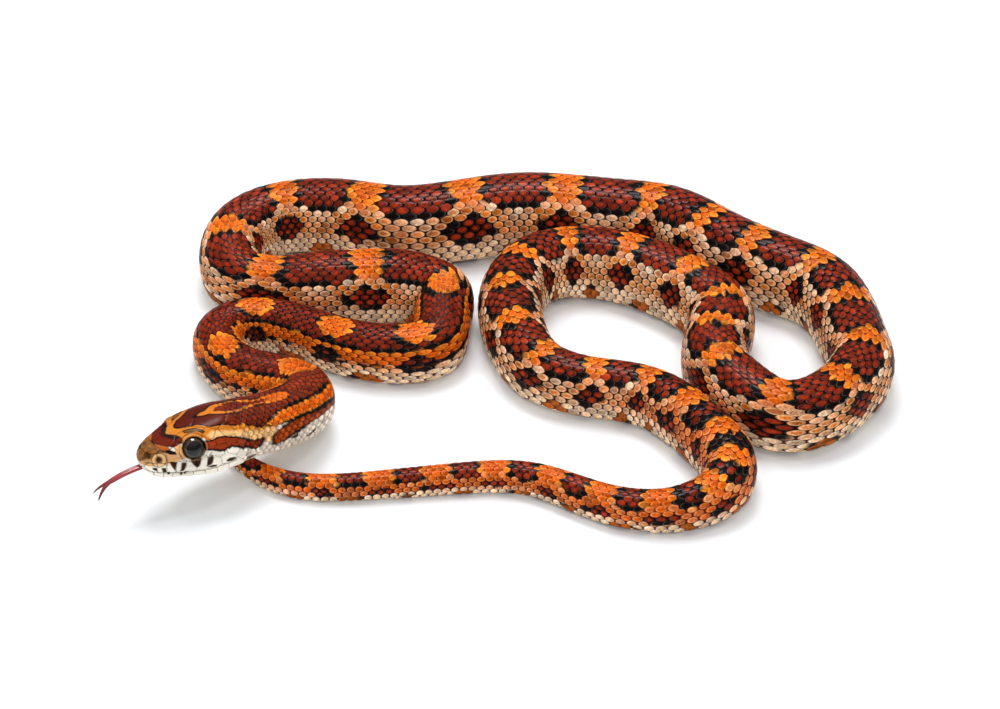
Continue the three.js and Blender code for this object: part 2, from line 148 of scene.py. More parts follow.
GOLD = (
    (8.4, -30), (8.3, 0), (8.9, 4), (9.9, 16), (10.5, 28), (10.6, 44), (12.7, 50), (14.5, 52),
    (15.7, 54), (16.4, 62), (17.5, 64), (19, 61), (20.2, 61), (21.4, 62), (22.7, 64),
    (24.6, 68), (26.6, 74), (28.1, 80), (29.7, 84), (31, 86), (33.5, 90), (36.4, 65),
    (38, 56), (36, 44), (33.5, 50), (32.4, 58), (30.4, 55), (28, 48), (26.5, 44), (25, 43),
    (23, 39), (21.4, 37), (19.6, 33), (18, 28), (16.6, 23), (15.9, 19), (14.7, 15), (13.4, 9),
    (12.4, 5), (11.4, 0), (11.4, -30),
)
GOLD_PALE = (
    (16.6, 50), (18, 44), (20, 48), (23, 53), (27, 60), (31, 68), (33.5, 64), (36, 70),
    (34, 92), (31, 86), (28.1, 80), (24.6, 68), (21.4, 62), (17.5, 62),
)
BROW = (
    (11.8, 18), (13.2, 20), (14.8, 26), (15.8, 34), (16.4, 40), (15.9, 42), (14.8, 34),
    (13.1, 30), (11.9, 25),
)
SPEAR = (
    (10.6, -30), (10.6, 0), (11.1, 5), (11.9, 9), (13.6, 14), (15.3, 18), (16.8, 26),
    (17.6, 31), (18.7, 35), (20.1, 36), (22.1, 39), (23.6, 44), (25.1, 46), (26.8, 46),
    (27.9, 51), (29, 56), (30.4, 59), (32, 62), (34, 51), (36, 41), (38, 34), (42, 29),
    (46, 33), (50, 38), (54, 44), (58, 53), (64, 59), (90, 61), (90, -30),
)
STRIPE = (
    (33.5, 56), (36, 45), (38, 36), (42, 32), (46, 34), (50, 38), (54, 45), (58, 54),
    (62, 58), (90, 59), (90, 82), (62, 81), (58, 77), (54, 69), (50, 60), (46, 57), (42, 56),
    (38, 59), (35.4, 63),
)
CENTRE = (
    (16.3, -30), (16.3, -1), (18.6, 3), (20.2, 4), (20.9, 7), (22, 11), (23.7, 14),
    (25.2, 15), (27.1, 18), (28.8, 15), (30.7, 13), (33.3, 8), (35.6, 9), (38, 12), (41, 11),
    (43, 8), (44, 4), (44, -30),
)
CENTRE_DARK = (
    (21.8, -30), (21.8, 1), (23.2, 5), (25, 10), (27, 13), (28.8, 10), (30.5, 7), (33, 4),
    (36, 3), (37, -30),
)
EYE_BAND = (
    (15.2, 62), (16.6, 61), (17.5, 62), (19.1, 59), (20.2, 60), (21.2, 61), (22.2, 64),
    (24.1, 66), (25.8, 73), (28.1, 80), (29.7, 84), (30.9, 81), (31.8, 84), (31.7, 88),
    (30.6, 95), (29.5, 99), (27.8, 97), (26.4, 91), (25.3, 92), (24, 88), (23, 85),
    (22.1, 84), (21, 86), (20.2, 88), (19.1, 88), (17.8, 85), (16.4, 82), (15.2, 80),
)
SIDE_BLOTCH = (
    (33.6, 97), (34.4, 84), (36, 73), (38, 66), (42, 60), (46, 60), (50, 63), (56, 71),
    (64, 83), (72, 85), (72, 94), (60, 95), (52, 84), (48, 83), (44, 86), (40, 92), (37, 98),
    (35, 103),
)
LIP_BARS = (
    ((4.2, 96), (4.9, 96), (4.9, 109), (4.3, 110)),
    ((6.3, 87), (7.9, 89), (7.3, 98), (7.2, 104), (6.9, 98)),
    ((9.2, 91), (10.1, 92), (9.3, 107), (8.5, 108)),
    ((11.5, 90), (13.9, 90), (13.5, 98), (12.7, 104), (12.1, 98)),
    ((15.9, 91), (16.9, 91), (16.6, 98), (15.9, 103), (15.2, 104), (15.4, 97)),
    ((15.6, 107), (16.4, 105), (17.6, 106), (17.4, 109), (16.2, 109)),
    ((20.3, 102), (21.2, 99), (22.4, 100), (22.9, 104), (21.8, 106), (20.8, 105)),
    ((2.1, 96), (2.7, 96), (2.8, 104), (2.2, 104)),
    ((8.7, 118), (9.1, 117), (9.0, 124), (8.6, 124)),
    ((9.7, 115), (10.0, 115), (9.9, 121), (9.6, 121)),
    ((39.6, 95), (41.6, 91), (41.4, 94), (39.8, 98)),
    ((44, 105), (47, 100), (46.6, 103), (44, 108)),
    ((5.6, 112), (6.0, 111), (5.9, 118), (5.5, 118)),
    ((26, 118), (29, 114), (29, 118), (26, 122)),
)
# Plates of the head as groups of seeds (s, a). Those of PAIRED_PLATES lie on both sides.
MIDDLE_PLATES = (
    ((0.25, 0), (0.9, 40), (0.5, 20), (0.9, -40), (0.5, -20)),
    ((10.3, 0), (12.2, 0), (13.9, 0)),
)
PAIRED_PLATES = (
    ((2.6, 16), (3.0, 26)), ((5.9, 14), (6.4, 30), (7.4, 20)),
    ((10.6, 38), (12.6, 34), (14.6, 37)), ((17.0, 16), (19.2, 22), (21.2, 16), (23.0, 10)),
    ((2.4, 56),), ((4.6, 66),), ((7.0, 70), (7.8, 68)), ((9.7, 56), (9.9, 66)),
    ((16.9, 52),), ((17.1, 68),), ((19.4, 66),), ((19.2, 82),), ((22.2, 56),),
    ((22.4, 72),), ((22.6, 86),), ((25.2, 34),), ((25.0, 48),), ((25.2, 64),),
    ((25.2, 80),), ((25.4, 96),), ((25.8, 14),),
    ((3.4, 150), (5.0, 152)), ((8.4, 150), (10.4, 152)),
)
# The middles of the lip plates, behind the snout.
SUPRALABIALS = (1.9, 4.1, 6.3, 8.7, 11.3, 14.2, 17.4, 20.9)
INFRALABIALS = (1.6, 3.5, 5.6, 7.9, 10.5, 13.4, 16.5, 19.6, 22.6)
# Where the neck's lanes give way to saddles, and where the tail's closer marks begin.
NECK, TAIL = (170, 205), (690, 745)
# Most rows of scales round the back, where they begin, and the step for counting them.
FULL_ROWS, COAT_START, WALK = 27, 24.0, 0.25
# Where the head's own sections end.
HEAD_END = 44.0
# Mean spacing of the belly plates, and points in a ring of the skin and of the head.
BELLY_STEP, SKIN_SIDES, HEAD_SIDES = 3.6, 96, 300

def plain(name, default, description, **more):
    """A plain number that a user may change."""
    return FloatProperty(name=name, default=default, description=description, **more)


def in_mm(name, default, description):
    """A length, its default given in millimetres and kept in metres."""
    return plain(name, default * MM, description, unit="LENGTH", precision=5)


def in_degrees(name, default, description):
    """An angle, its default given in degrees and kept in radians."""
    return plain(name, np.radians(default), description, subtype="ANGLE")


def tint(name, default, description):
    """A colour as it looks on a screen, sRGB."""
    return FloatVectorProperty(
        name=name, default=default, description=description, subtype="COLOR_GAMMA", min=0, max=1)


class FormSettings(bpy.types.PropertyGroup):
    """The section of the body and the set of the head, the same as in the solids"""

    crown: plain("Crown", 2.06, "Height of the back in half widths")
    widest: plain("Widest", 0.9, "Height of the widest place in half widths")
    belly: plain("Belly depth", 1.04, "Depth below the widest place before the flat, half widths")
    back_power: plain("Back power", 2.15, "Roundness of the back")
    belly_power: plain("Belly power", 2.7, "Roundness of the belly corners")
    flank_end: in_degrees("Flank end", 34.0, "Angle below level where the belly plates begin")
    roll: in_degrees("Roll", 6.0, "Lean of the head")
    roll_height: in_mm("Roll height", 7.0, "Height of the lean's axis")
    snout_length: in_mm("Snout length", 4.0, "Length of the rounding at the front")
    snout_height: in_mm("Snout height", 6.3, "Height of the snout's point")
    snout_power: plain("Snout power", 2.2, "Bluntness of the snout")
    depth: in_mm("Skin depth", 0.3, "Depth of the skin under the scales")


class ScaleSettings(bpy.types.PropertyGroup):
    """The scales of the back and flanks"""

    pieces: IntProperty(name="Pieces", default=10, min=4, description="Meshes in the coat")
    blend: plain("Blend", 0.14, "Share of the markings that runs on inside a scale")
    rise: plain("Rise", 0.15, "Height gained from root to tip in row spacings")
    dome: in_mm("Dome", 0.2, "Height of the middle over the edge")
    keel: in_mm("Keel", 0.03, "Height of the weak keel")
    edge: in_mm("Edge", 0.2, "Depth of the free edge")
    seed: IntProperty(name="Seed", default=7, description="Seed of the small variations")


class MarkSettings(bpy.types.PropertyGroup):
    """Colours of the markings"""

    red: tint("Saddle", (0.56, 0.18, 0.09), "Saddles and flank blotches")
    black: tint("Border", (0.06, 0.045, 0.045), "Borders of the dark marks")
    orange: tint("Bar", (0.86, 0.38, 0.07), "Bars between the saddles")
    amber: tint("Bar edge", (0.97, 0.6, 0.18), "Bars where they meet the black")
    tan: tint("Flank", (0.86, 0.46, 0.17), "Middle of the flank scales")
    cream: tint("Rim", (1.0, 0.87, 0.64), "Rim of the flank scales")
    rust: tint("Low mark", (0.66, 0.34, 0.1), "Marks low on the flank")
    white: tint("Belly", (0.96, 0.93, 0.87), "Belly and lips")
    brown: tint("Snout", (0.54, 0.36, 0.19), "Snout and brow")
    gap: tint("Between scales", (0.16, 0.07, 0.04), "Skin between the flank scales")


class HeadSettings(bpy.types.PropertyGroup):
    """Eyes, nostrils, mouth and tongue"""

    eye_radius: in_mm("Eye radius", 2.95, "Radius of the eye ball")
    eye_at: FloatVectorProperty(
        name="Eye", default=(0.0129, 0.00575, 0.01), unit="LENGTH", precision=5,
        description="Distance behind the snout, side and height of the eye")
    eye_axis: FloatVectorProperty(
        name="Eye axis", default=(-0.16, 0.95, 0.26), subtype="DIRECTION",
        description="Way the eye looks: back, out and up")
    pupil: plain("Pupil", 0.7, "Radius of the pupil as a share of the eye's")
    nostril_at: in_mm("Nostril", 3.7, "Distance of the nostril behind the snout")
    nostril_down: in_degrees("Nostril angle", 74, "Angle of the nostril down from the back")
    nostril: in_mm("Nostril radius", 0.95, "Radius of the nostril's pit")
    mouth_end: in_mm("Mouth corner", 23.4, "Distance of the mouth's corner behind the snout")
    groove: in_mm("Groove", 0.16, "Depth between head plates")
    flatness: plain("Tongue flatness", 0.72, "Thickness of the tongue as a share of its width")


class StageSettings(bpy.types.PropertyGroup):
    """Camera and lights"""

    elevation: in_degrees("Elevation", 36.0, "Height of the camera above the floor as an angle")
    distance: plain("Distance", 0.91667, "Camera to target", unit="LENGTH")
    lens: plain("Lens", 120.0, "Focal length", unit="CAMERA")
    key: plain("Key light", 9.0, "Large light behind and above", unit="POWER")
    catch: plain("Catch light", 16.0, "Light seen in reflections alone", unit="POWER")
    fill: plain("Small lights", 1.3, "Light on either side", unit="POWER")
    front: plain("Front light", 6.0, "Large light in front", unit="POWER")
    sky: plain("Walls", 0.28, "Strength of the room at the sides")
    top: plain("Ceiling", 0.75, "Strength of the room overhead")


class SnakeSettings(bpy.types.PropertyGroup):
    """All settings of the animal"""

    form: PointerProperty(type=FormSettings)
    scales: PointerProperty(type=ScaleSettings)
    marks: PointerProperty(type=MarkSettings)
    head: PointerProperty(type=HeadSettings)
    stage: PointerProperty(type=StageSettings)


def settings():
    """The animal's settings in the open scene."""
    return bpy.context.scene.corn_snake


def smooth(a, b, x):
    """The cubic step from 0 at a to 1 at b."""
    t = np.clip((x - a) / (b - a), 0, 1)
    return t * t * (3 - 2 * t)


def bump(x, middle, width):
    """A bell, 1 at its middle, falling with the square of the distance in widths."""
    return np.exp(-(((x - middle) / width) ** 2))


def fade(distance, reach):
    """1 at and inside an outline, falling by e for each reach outside it."""
    return np.exp(-np.maximum(distance, 0) / reach)


def power(x, p):
    """x to the power p, keeping its sign."""
    return np.sign(x) * np.abs(x) ** p


def unit(v):
    """Vectors brought to length 1."""
    return v / np.maximum(np.linalg.norm(v, axis=-1, keepdims=True), 1e-9)


def linear(colour):
    """A screen colour, sRGB, as linear light."""
    c = np.asarray(colour, float)
    return np.where(c <= 0.04045, c / 12.92, ((c + 0.055) / 1.055) ** 2.4)


def over(base, colour, amount):
    """The share amount of colour over the rest of base."""
    amount = np.asarray(amount, float)[..., None]
    return base * (1 - amount) + colour * amount


def wave(seed, *coordinates):
    """Smooth seeded noise in -1..1, a sum of sines with seeded directions and phases."""
    rng = np.random.default_rng(seed)
    total = 0
    for octave in range(4):
        direction = rng.normal(size=len(coordinates)) * (1.6**octave)
        phase = rng.uniform(0, 2 * np.pi)
        total = total + np.sin(sum(c * d for c, d in zip(coordinates, direction)) + phase)
    return total / 4


def through(rows, column=1):
    """A cubic Hermite curve through rows, its tangents the harmonic means of the slopes."""
    rows = np.asarray(rows, float)
    x, y = rows[:, 0], rows[:, column]
    slope = np.diff(y) / np.diff(x)
    same = slope[:-1] * slope[1:] > 0
    total = np.where(same, slope[:-1] + slope[1:], 1)
    inner = np.where(same, 2 * slope[:-1] * slope[1:] / total, 0)
    tangent = np.concatenate([slope[:1], inner, slope[-1:]])

    def value(v):
        """The curve at v, held at its ends."""
        v = np.clip(v, x[0], x[-1])
        i = np.clip(np.searchsorted(x, v, side="right") - 1, 0, len(x) - 2)
        h = x[i + 1] - x[i]
        t = (v - x[i]) / h
        start = (1 + 2 * t) * (1 - t) ** 2 * y[i] + t * (1 - t) ** 2 * h * tangent[i]
        return start + t * t * (3 - 2 * t) * y[i + 1] + t * t * (t - 1) * h * tangent[i + 1]

    return value


def places(step, start, end):
    """The running count of steps along the body as (distances, counts)."""
    s = np.arange(start, end, WALK)
    return s, np.concatenate([[0], np.cumsum(WALK / step(s[:-1]))])


class Body:
    """The surface of the animal as a function of (s, phi), in millimetres."""

    def __init__(self, form):
        self.form = form
        self.belly_edge = 90 + np.degrees(form.flank_end)
        self.half, self.mouth, self.twist = through(GIRTH), through(MOUTH), through(TWIST)
        self.head_rows = [through(HEAD_FORM, k) for k in (1, 2, 3, 4)]
        self.crown_power, self.throat_power = through(CROWN_POWER), through(THROAT_POWER)
        self._walk()
        self._measure()

    def _walk(self):
        """The B-spline as a dense polyline and its distances."""
        c = np.array([(x - MIDDLE[0], y - MIDDLE[1], 0.0) for x, y in ROUTE])
        c[: len(LIFTS), 2] = LIFTS
        c = np.vstack([2 * c[0] - c[1], c, 2 * c[-1] - c[-2]])
        points_a_span = 40
        u = np.linspace(0, 1, points_a_span, endpoint=False)[:, None, None]
        w = ((1 - u) ** 3, 3 * u**3 - 6 * u**2 + 4, -3 * u**3 + 3 * u**2 + 3 * u + 1, u**3)
        n = len(c) - 3
        p = sum(w[k] * c[None, k:k + n] for k in range(4)) / 6
        p = np.vstack([p.transpose(1, 0, 2).reshape(-1, 3), c[-2]])
        self.points = p
        self.far = np.concatenate([[0], np.cumsum(np.hypot(*np.diff(p[:, :2], axis=0).T))])
        way = np.gradient(p[:, :2], axis=0)
        self.way = way / np.hypot(*way.T)[:, None]
        self.length = self.far[-1]

    def _measure(self):
        """Tables from the flank share t to the angle a, and the flank's arc per half width."""
        sample = 400.0
        self.angles = np.linspace(0, 180, 721)
        at = np.full(len(self.angles), sample)
        side, height = self.section(at, np.radians(90 - self.angles))
        arc = np.concatenate([[0], np.cumsum(np.hypot(np.diff(side), np.diff(height)))])
        edge = np.interp(self.belly_edge, self.angles, arc)
        self.shares = arc / edge
        self.arc = edge / self.half(sample)

    def turn(self, s, a):
        """How far the skin is turned at the angle a from the back's middle: less further down."""
        return self.twist(s) * (1 - smooth(0, self.belly_edge, np.abs(a)))

    def angle(self, t):
        """Signed angle from the back's middle line at the flank share t."""
        return np.sign(t) * np.interp(np.abs(t), self.shares, self.angles)

    def share(self, a):
        """Signed flank share at the angle a, the inverse of angle()."""
        return np.sign(a) * np.interp(np.abs(a), self.angles, self.shares)

    def phi_of(self, s, t):
        """The angle phi at the flank share t, with the skin's turn added."""
        a = self.angle(t)
        return np.radians(90 + a + self.turn(s, a))

    def angle_at(self, s, phi):
        """Signed angle from the turned middle line at the place (s, phi), by repeated guess."""
        raw = (np.degrees(phi) - 90 + 180) % 360 - 180
        a = raw
        for _ in range(4):
            a = raw - self.turn(s, a)
        return a

    def axis(self, s):
        """Place, lift and way of the axis at s, running straight on past both ends."""
        inside = np.clip(s, 0, self.length)
        x, y, lift = (np.interp(inside, self.far, self.points[:, k]) for k in range(3))
        tx, ty = (np.interp(inside, self.far, self.way[:, k]) for k in range(2))
        r = np.hypot(tx, ty)
        tx, ty = tx / r, ty / r
        return x + tx * (s - inside), y + ty * (s - inside), lift, tx, ty

    def section(self, s, phi):
        """The body's section: a superellipse above the widest height and one below, cut flat."""
        f = self.form
        a, c, n = self.half(s), np.cos(phi), np.sin(phi)
        above = n >= 0
        side = a * power(c, np.where(above, 2 / f.back_power, 2 / f.belly_power))
        top = a * (f.widest + (f.crown - f.widest) * np.abs(n) ** (2 / f.back_power))
        low = a * (f.widest - f.belly * np.abs(n) ** (2 / f.belly_power))
        return side, np.where(above, top, np.maximum(low, 0))

    def relief(self, s, phi):
        """Brow, ridge to the nostril, hollow before the eye, lips and jaw muscles, as bells."""
        low = np.degrees(np.arctan2(np.sin(phi), np.abs(np.cos(phi))))
        lips = smooth(1, 5, s) * (1 - smooth(17, 22, s)) * 0.3 * bump(low, -14, 10)
        jaw = smooth(2, 6, s) * (1 - smooth(19, 23, s)) * 0.5 * bump(low, -42, 12)
        ridge = 0.3 * smooth(2, 5, s) * (1 - smooth(9, 12, s)) * bump(low, 50, 12)
        brow = 0.5 * bump(s, 12.4, 4.2) * bump(low, 52, 13)
        hollow = 0.55 * bump(s, 7.6, 2.2) * bump(low, 17, 15)
        temple = 0.3 * bump(s, 19, 3.4) * bump(low, 34, 14)
        groove = 0.18 * bump(s, 20, 5) * bump(low, 90, 14)
        return brow + ridge + lips + jaw - hollow - temple - groove

    def head(self, s, phi):
        """The head's section, superellipses drawn in to a blunt snout at the front."""
        f = self.form
        tip, bluntness = f.snout_height / MM, f.snout_power
        back = np.clip(1 - s / (f.snout_length / MM), 0, 1)
        full = (1 - back**bluntness) ** (1 / bluntness)
        half, crown, middle, throat = (row(s) for row in self.head_rows)
        crown, middle, throat = (tip + (v - tip) * full for v in (crown, middle, throat))
        c, n = np.cos(phi), np.sin(phi)
        p = 2 / np.where(n >= 0, self.crown_power(s), self.throat_power(s))
        side = half * full * power(c, p)
        height = middle + np.where(n >= 0, crown - middle, middle - throat) * power(n, p)
        far = np.maximum(np.hypot(side, height - middle), 1e-6)
        grow = 1 + self.relief(s, phi) * full / far
        return side * grow, middle + (height - middle) * grow

    def outline(self, s, phi):
        """Side and height of the surface: the head's section running into the body's."""
        s, phi = np.broadcast_arrays(np.asarray(s, float), phi)
        neck = smooth(28, 42, s)
        head, body = self.head(np.clip(s, 0.0, HEAD_END), phi), self.section(s, phi)
        return tuple(h * (1 - neck) + b * neck for h, b in zip(head, body))

    def place(self, s, side, height, along=0.0):
        """A point by its side and height at s, with a step along the axis and the head's lean."""
        x, y, lift, tx, ty = self.axis(s)
        pivot = self.form.roll_height / MM
        a = self.form.roll * (1 - smooth(22, 46, s))
        across = side * np.cos(a) + (height - pivot) * np.sin(a)
        z = lift + pivot + (height - pivot) * np.cos(a) - side * np.sin(a)
        x, y = x - ty * across + tx * along, y + tx * across + ty * along
        return np.stack(np.broadcast_arrays(x, y, z), -1)

    def core(self, s, height):
        """A point over the axis at s, that far above its lift."""
        x, y, lift = self.axis(s)[:3]
        return np.stack(np.broadcast_arrays(x, y, lift + height), -1)

    def normal(self, s, phi):
        """The outward normal (along, side, up) from differences of the outline."""
        ds, dp = 0.05, np.radians(0.8)
        before = np.maximum(s - ds, 0.005)
        a1, b1 = self.outline(before, phi)
        a2, b2 = self.outline(s + ds, phi)
        c1, d1 = self.outline(s, phi - dp)
        c2, d2 = self.outline(s, phi + dp)
        step = (s + ds) - before
        lift = self.axis(s + 0.5)[2] - self.axis(s - 0.5)[2]
        a, b = (a2 - a1) / step, (b2 - b1) / step + lift
        c, d = c2 - c1, d2 - d1
        return unit(np.stack([b * c - a * d, d, -c], -1))

    def surface(self, s, phi, out=0.0):
        """World point of the surface, moved out along its normal, never below the floor."""
        s, phi, out = np.broadcast_arrays(np.asarray(s, float), phi, out)
        side, height = self.outline(s, phi)
        n = self.normal(s, phi)
        p = self.place(s, side + out * n[..., 1], height + out * n[..., 2], out * n[..., 0])
        p[..., 2] = np.maximum(p[..., 2], 0.02)
        return p


def inside(s, a, outline, squeeze=0.125):
    """Millimetres inside an outline, negative outside, a degree counting as squeeze."""
    p = np.stack([s, np.abs(a) * squeeze], -1)
    ends = np.array(outline, float) * (1, squeeze)
    best = np.full(s.shape, 99.0)
    odd = np.zeros(s.shape, bool)
    for start, end in zip(ends, np.roll(ends, -1, axis=0)):
        edge = end - start
        q = p - start
        k = np.clip((q @ edge) / (edge @ edge), 0, 1)
        best = np.minimum(best, np.linalg.norm(q - k[..., None] * edge, axis=-1))
        cross = (start[1] > p[..., 1]) != (end[1] > p[..., 1])
        rise = edge[1] if edge[1] else 1e-9
        odd ^= cross & (p[..., 0] < edge[0] * (p[..., 1] - start[1]) / rise + start[0])
    return np.where(odd, best, -best)


class Marks:
    """The colours of the animal: fill, rim and gap between scales for each place (s, a)."""

    def __init__(self, body, marks):
        """The colours as linear light, the bars, the middles between them and their gaps."""
        self.body = body
        for name in MarkSettings.__annotations__:
            setattr(self, name, linear(getattr(marks, name)[:]))
        self.bars = np.array(BARS, float)
        self.middle = (self.bars[1:] + self.bars[:-1]) / 2
        self.gaps = np.diff(self.bars)

    def lay(self, layers, inside, colours, border=None, edge=0.1):
        """Lays a mark over the layers, with a black border that deep inside its outline."""
        if border is not None:
            deep = smooth(border - edge, border + edge, inside)
            dark = (self.black, self.black * 1.5 + 0.004, self.black * 0.4)
            colours = [
                over(np.broadcast_to(night, layer.shape), colour, deep)
                for layer, colour, night in zip(layers, colours, dark)
            ]
        on = smooth(-edge, edge, inside)
        return [over(layer, colour, on) for layer, colour in zip(layers, colours)]

    def flank(self, shape, tv, near, tone):
        """Tan with a cream rim, the palest scales beside the black, cream low down."""
        low = smooth(0.6, 0.84, tv)
        pale = np.clip(near * 1.1 - 0.15, 0, 1)
        fill = np.broadcast_to(self.tan, shape) * (0.86 + 0.14 * tone)
        fill = over(fill, over(self.cream, self.white, 0.5), pale * 0.9)
        fill = over(fill, over(self.cream, self.white, 0.35) * (1, 0.98, 0.9), 0.75 * low)
        rim = np.broadcast_to(over(self.cream, self.tan, 0.55), shape)
        rim = over(rim, self.white, pale * 0.85)
        gaps = over(np.broadcast_to(self.gap, shape), self.tan * 0.4, low * 0.3)
        return [fill, over(rim, self.white, 0.7 * low), gaps]

    def body_layers(self, s, a):
        """Saddles between the bars, blotches under them and low marks, as distances inside.

        The edges waver by seeded noise. On the neck the saddles run together along the back
        and leave the bars as ovals, with a light lane below them.
        """
        t = np.abs(self.body.share(a))
        side = np.where(a < 0, -1.0, 1.0)
        arc = self.body.half(s) * self.body.arc
        row = arc * 2 / FULL_ROWS
        sv = s + 0.7 * wave(3, s * 0.45, t * 11 * side, side * 2.0)
        tv = t + 0.018 * wave(5, s * 0.4, t * 9, side * 3.0)
        tone = wave(37, s * 1.1, a * 0.16)[..., None]
        neck = 1 - smooth(*NECK, s)
        on_neck = neck > 0.5
        tail = smooth(*TAIL, s)
        k = np.clip(np.searchsorted(self.bars, sv) - 1, 0, len(self.middle) - 1)
        gap = self.gaps[k]
        j = np.argmin(np.abs(sv[..., None] - self.bars), axis=-1)
        from_bar = np.abs(sv - self.bars[j])

        reach = 0.39 + 0.03 * wave(11, k * 1.7, side * 0.8) + 0.05 * tail
        shape = (1 + 0.19 * smooth(0.04, 0.26, tv)) * np.clip(1 - (tv / reach) ** 5, 0, 1) ** 0.5
        half = gap * (0.325 + 0.02 * wave(17, k * 2.3) - 0.09 * tail) * shape
        saddle = np.minimum(half - np.abs(sv - self.middle[k]), (reach - tv) * arc * 1.1)
        size = np.clip(gap * 0.22, 3, 5.2)
        oval = (1 - np.hypot(from_bar / size, tv / 0.25)) * size
        lane_end = 0.31 + 0.05 * smooth(82, 104, s) + 0.03 * wave(19, s * 0.5, side)
        lane_low = lane_end + 0.25 + 0.02 * wave(43, s * 0.4, side)
        saddle = np.where(on_neck, np.minimum((lane_end - tv) * arc, -oval), saddle)
        layers = self.flank(s.shape + (3,), tv, fade(-saddle, row * 1.9), tone)

        # The bars: orange above, amber where they meet the black.
        end = 0.28 + 0.04 * wave(23, s * 0.5, side)
        bright = 1 - smooth(end - 0.06, end + 0.08, tv)
        bright = np.maximum(bright, on_neck * (1 - smooth(lane_low - 0.03, lane_low + 0.03, tv)))
        bright = np.maximum(bright, 0.8 * tail * (1 - smooth(0.66, 0.85, tv)))
        hot = self.orange * (1 + 0.1 * tone)
        edge = np.clip(fade(-saddle, row * 0.75) * 1.1, 0, 1)
        bar = (
            over(hot * (0.84, 0.7, 0.55), self.amber * 0.92, edge * 0.75),
            over(hot * (1.06, 1.15, 1.2), self.amber, 0.1 + edge * 0.9),
            self.orange * (0.26, 0.14, 0.12),
        )
        layers = [over(layer, colour, bright) for layer, colour in zip(layers, bar)]

        # Low rust marks midway between the bars.
        shift = 0.5 + 0.16 * wave(71, k * 2.9, side * 1.7)
        away = np.abs((sv - self.bars[k] - shift * gap) / (gap * 0.2)) ** 1.5
        low_mark = (1 - away - np.abs((tv - 0.92) / 0.12) ** 1.5) * row * 1.8
        rust = (self.rust * (1 + 0.2 * tone), self.rust * 1.15, self.rust * 0.35)
        layers = self.lay(layers, low_mark, rust, row * 0.3)

        # Flank blotches under the bars.
        wide = gap * (0.27 + 0.03 * wave(29, j * 1.3, side))
        high = np.abs((tv - 0.575 - 0.04 * tail) / (0.19 - 0.05 * tail)) ** 1.4
        blotch = (1 - (np.abs(from_bar / wide) ** 1.4 + high)) * row * 2.7
        blotch = np.where(on_neck & (tv < lane_low), blotch - row, blotch)
        red = self.red * (1 + 0.22 * tone) * (1 - 0.2 * neck)[..., None]
        fill = over(red * 1.1, self.rust * 0.8, 0.25 * smooth(0.6, 0.9, tv))
        layers = self.lay(layers, blotch, (fill, red * 0.28, self.black * 0.3), row * 0.8)

        # Brown streaks along the neck's flank and a broken black line over them.
        streak = np.sin(tv * 60 + 2 * wave(47, s * 0.2, side)) + wave(51, s * 0.3, tv * 12) * 1.2
        brown = smooth(0.6, 1.2, streak) * on_neck * smooth(0.56, 0.6, tv)
        brown = brown * (1 - smooth(0.82, 0.9, tv)) * 0.85
        layers = [over(layer, self.rust * m, brown) for layer, m in zip(layers, (0.55, 0.7, 0.2))]
        line = 0.35 - np.abs((lane_low + 0.02 - tv) * arc)
        dash = np.where(on_neck, np.minimum(line, wave(61, s * 0.33, side) + 0.25), -5)
        layers = self.lay(layers, dash, (self.black,) * 3)
        border = row * (0.95 + 0.8 * tail - 0.45 * on_neck)
        return self.lay(layers, saddle, (red, red * 0.26, self.black * 0.3), border)

    def head_layers(self, s, a):
        """The head: brown snout, gold line over the eye, dark spear, eye band, barred lips."""
        away = np.abs(a)
        waver = 0.14 * wave(31, s * 2.4, a * 0.3)
        tone = 1 + 0.14 * wave(33, s * 2.0, a * 0.3)[..., None]
        speck = wave(35, s * 1.1, a * 0.07)

        def three(colour, rim=1.12, gap=0.45):
            """A colour as fill, rim and gap."""
            return [colour * tone, colour * tone * rim, colour * tone * gap]

        def lay(outline, colour, border=None, edge=0.09, **shades):
            """Lays a colour inside an outline with a wavering edge."""
            nonlocal layers
            depth = inside(s, a, outline) + waver
            layers = self.lay(layers, depth, three(colour, **shades), border, edge)

        def line(depth, colour):
            """Lays one colour over fill, rim and gap alike."""
            nonlocal layers
            layers = self.lay(layers, depth, (colour,) * 3)

        layers = three(np.broadcast_to(self.white, s.shape + (3,)), 1.0, 0.55)
        gold = over(self.amber, self.brown, 0.3)
        buff = over(self.cream, self.tan, 0.45)
        snout = over(self.brown, self.amber, 0.25 * smooth(0.0, 0.5, -speck))
        snout = over(snout * 0.8, buff, 0.8 * smooth(48, 72, away))
        snout = over(snout, self.black * 3, smooth(0.2, 0.7, speck) * 0.5)
        lay(SNOUT, snout, edge=0.3)
        lay(LOREAL, over(buff, self.brown, 0.25), edge=0.3)
        lay(SNOUT_SPOT, over(self.brown * 0.35, self.black, 0.3))
        lay(LOREAL_STRIPE, over(self.orange * 0.8, self.brown, 0.5))
        lay(PREOCULAR, over(self.amber, self.cream, 0.45))
        lay(LOREAL_SPOT, self.black * 1.6)
        lay(PREFRONTAL, over(self.red * 0.46, self.black * 2, smooth(0.4, 0.8, speck) * 0.5), 0.2)
        band = smooth(6.6, 7.6, s - away * 0.06) * (1 - smooth(8.2, 9.2, s - away * 0.08))
        layers = [over(layer, self.black, band * (away < 30) * 0.85) for layer in layers]
        warm = 0.22 * smooth(9, 13, s) * (1 - smooth(20, 30, s))
        lay(GOLD, over(gold, self.orange, warm) * 0.86)
        lay(GOLD_PALE, over(self.amber, self.cream, 0.62), edge=0.5)
        lay(BROW, self.brown * 0.75, 0.12)
        rusty = over(self.red, self.orange, 0.1) * 0.75
        lay(SPEAR, over(self.red * 0.36, rusty, smooth(16, 38, s)), 0.42, rim=0.6, gap=0.08)
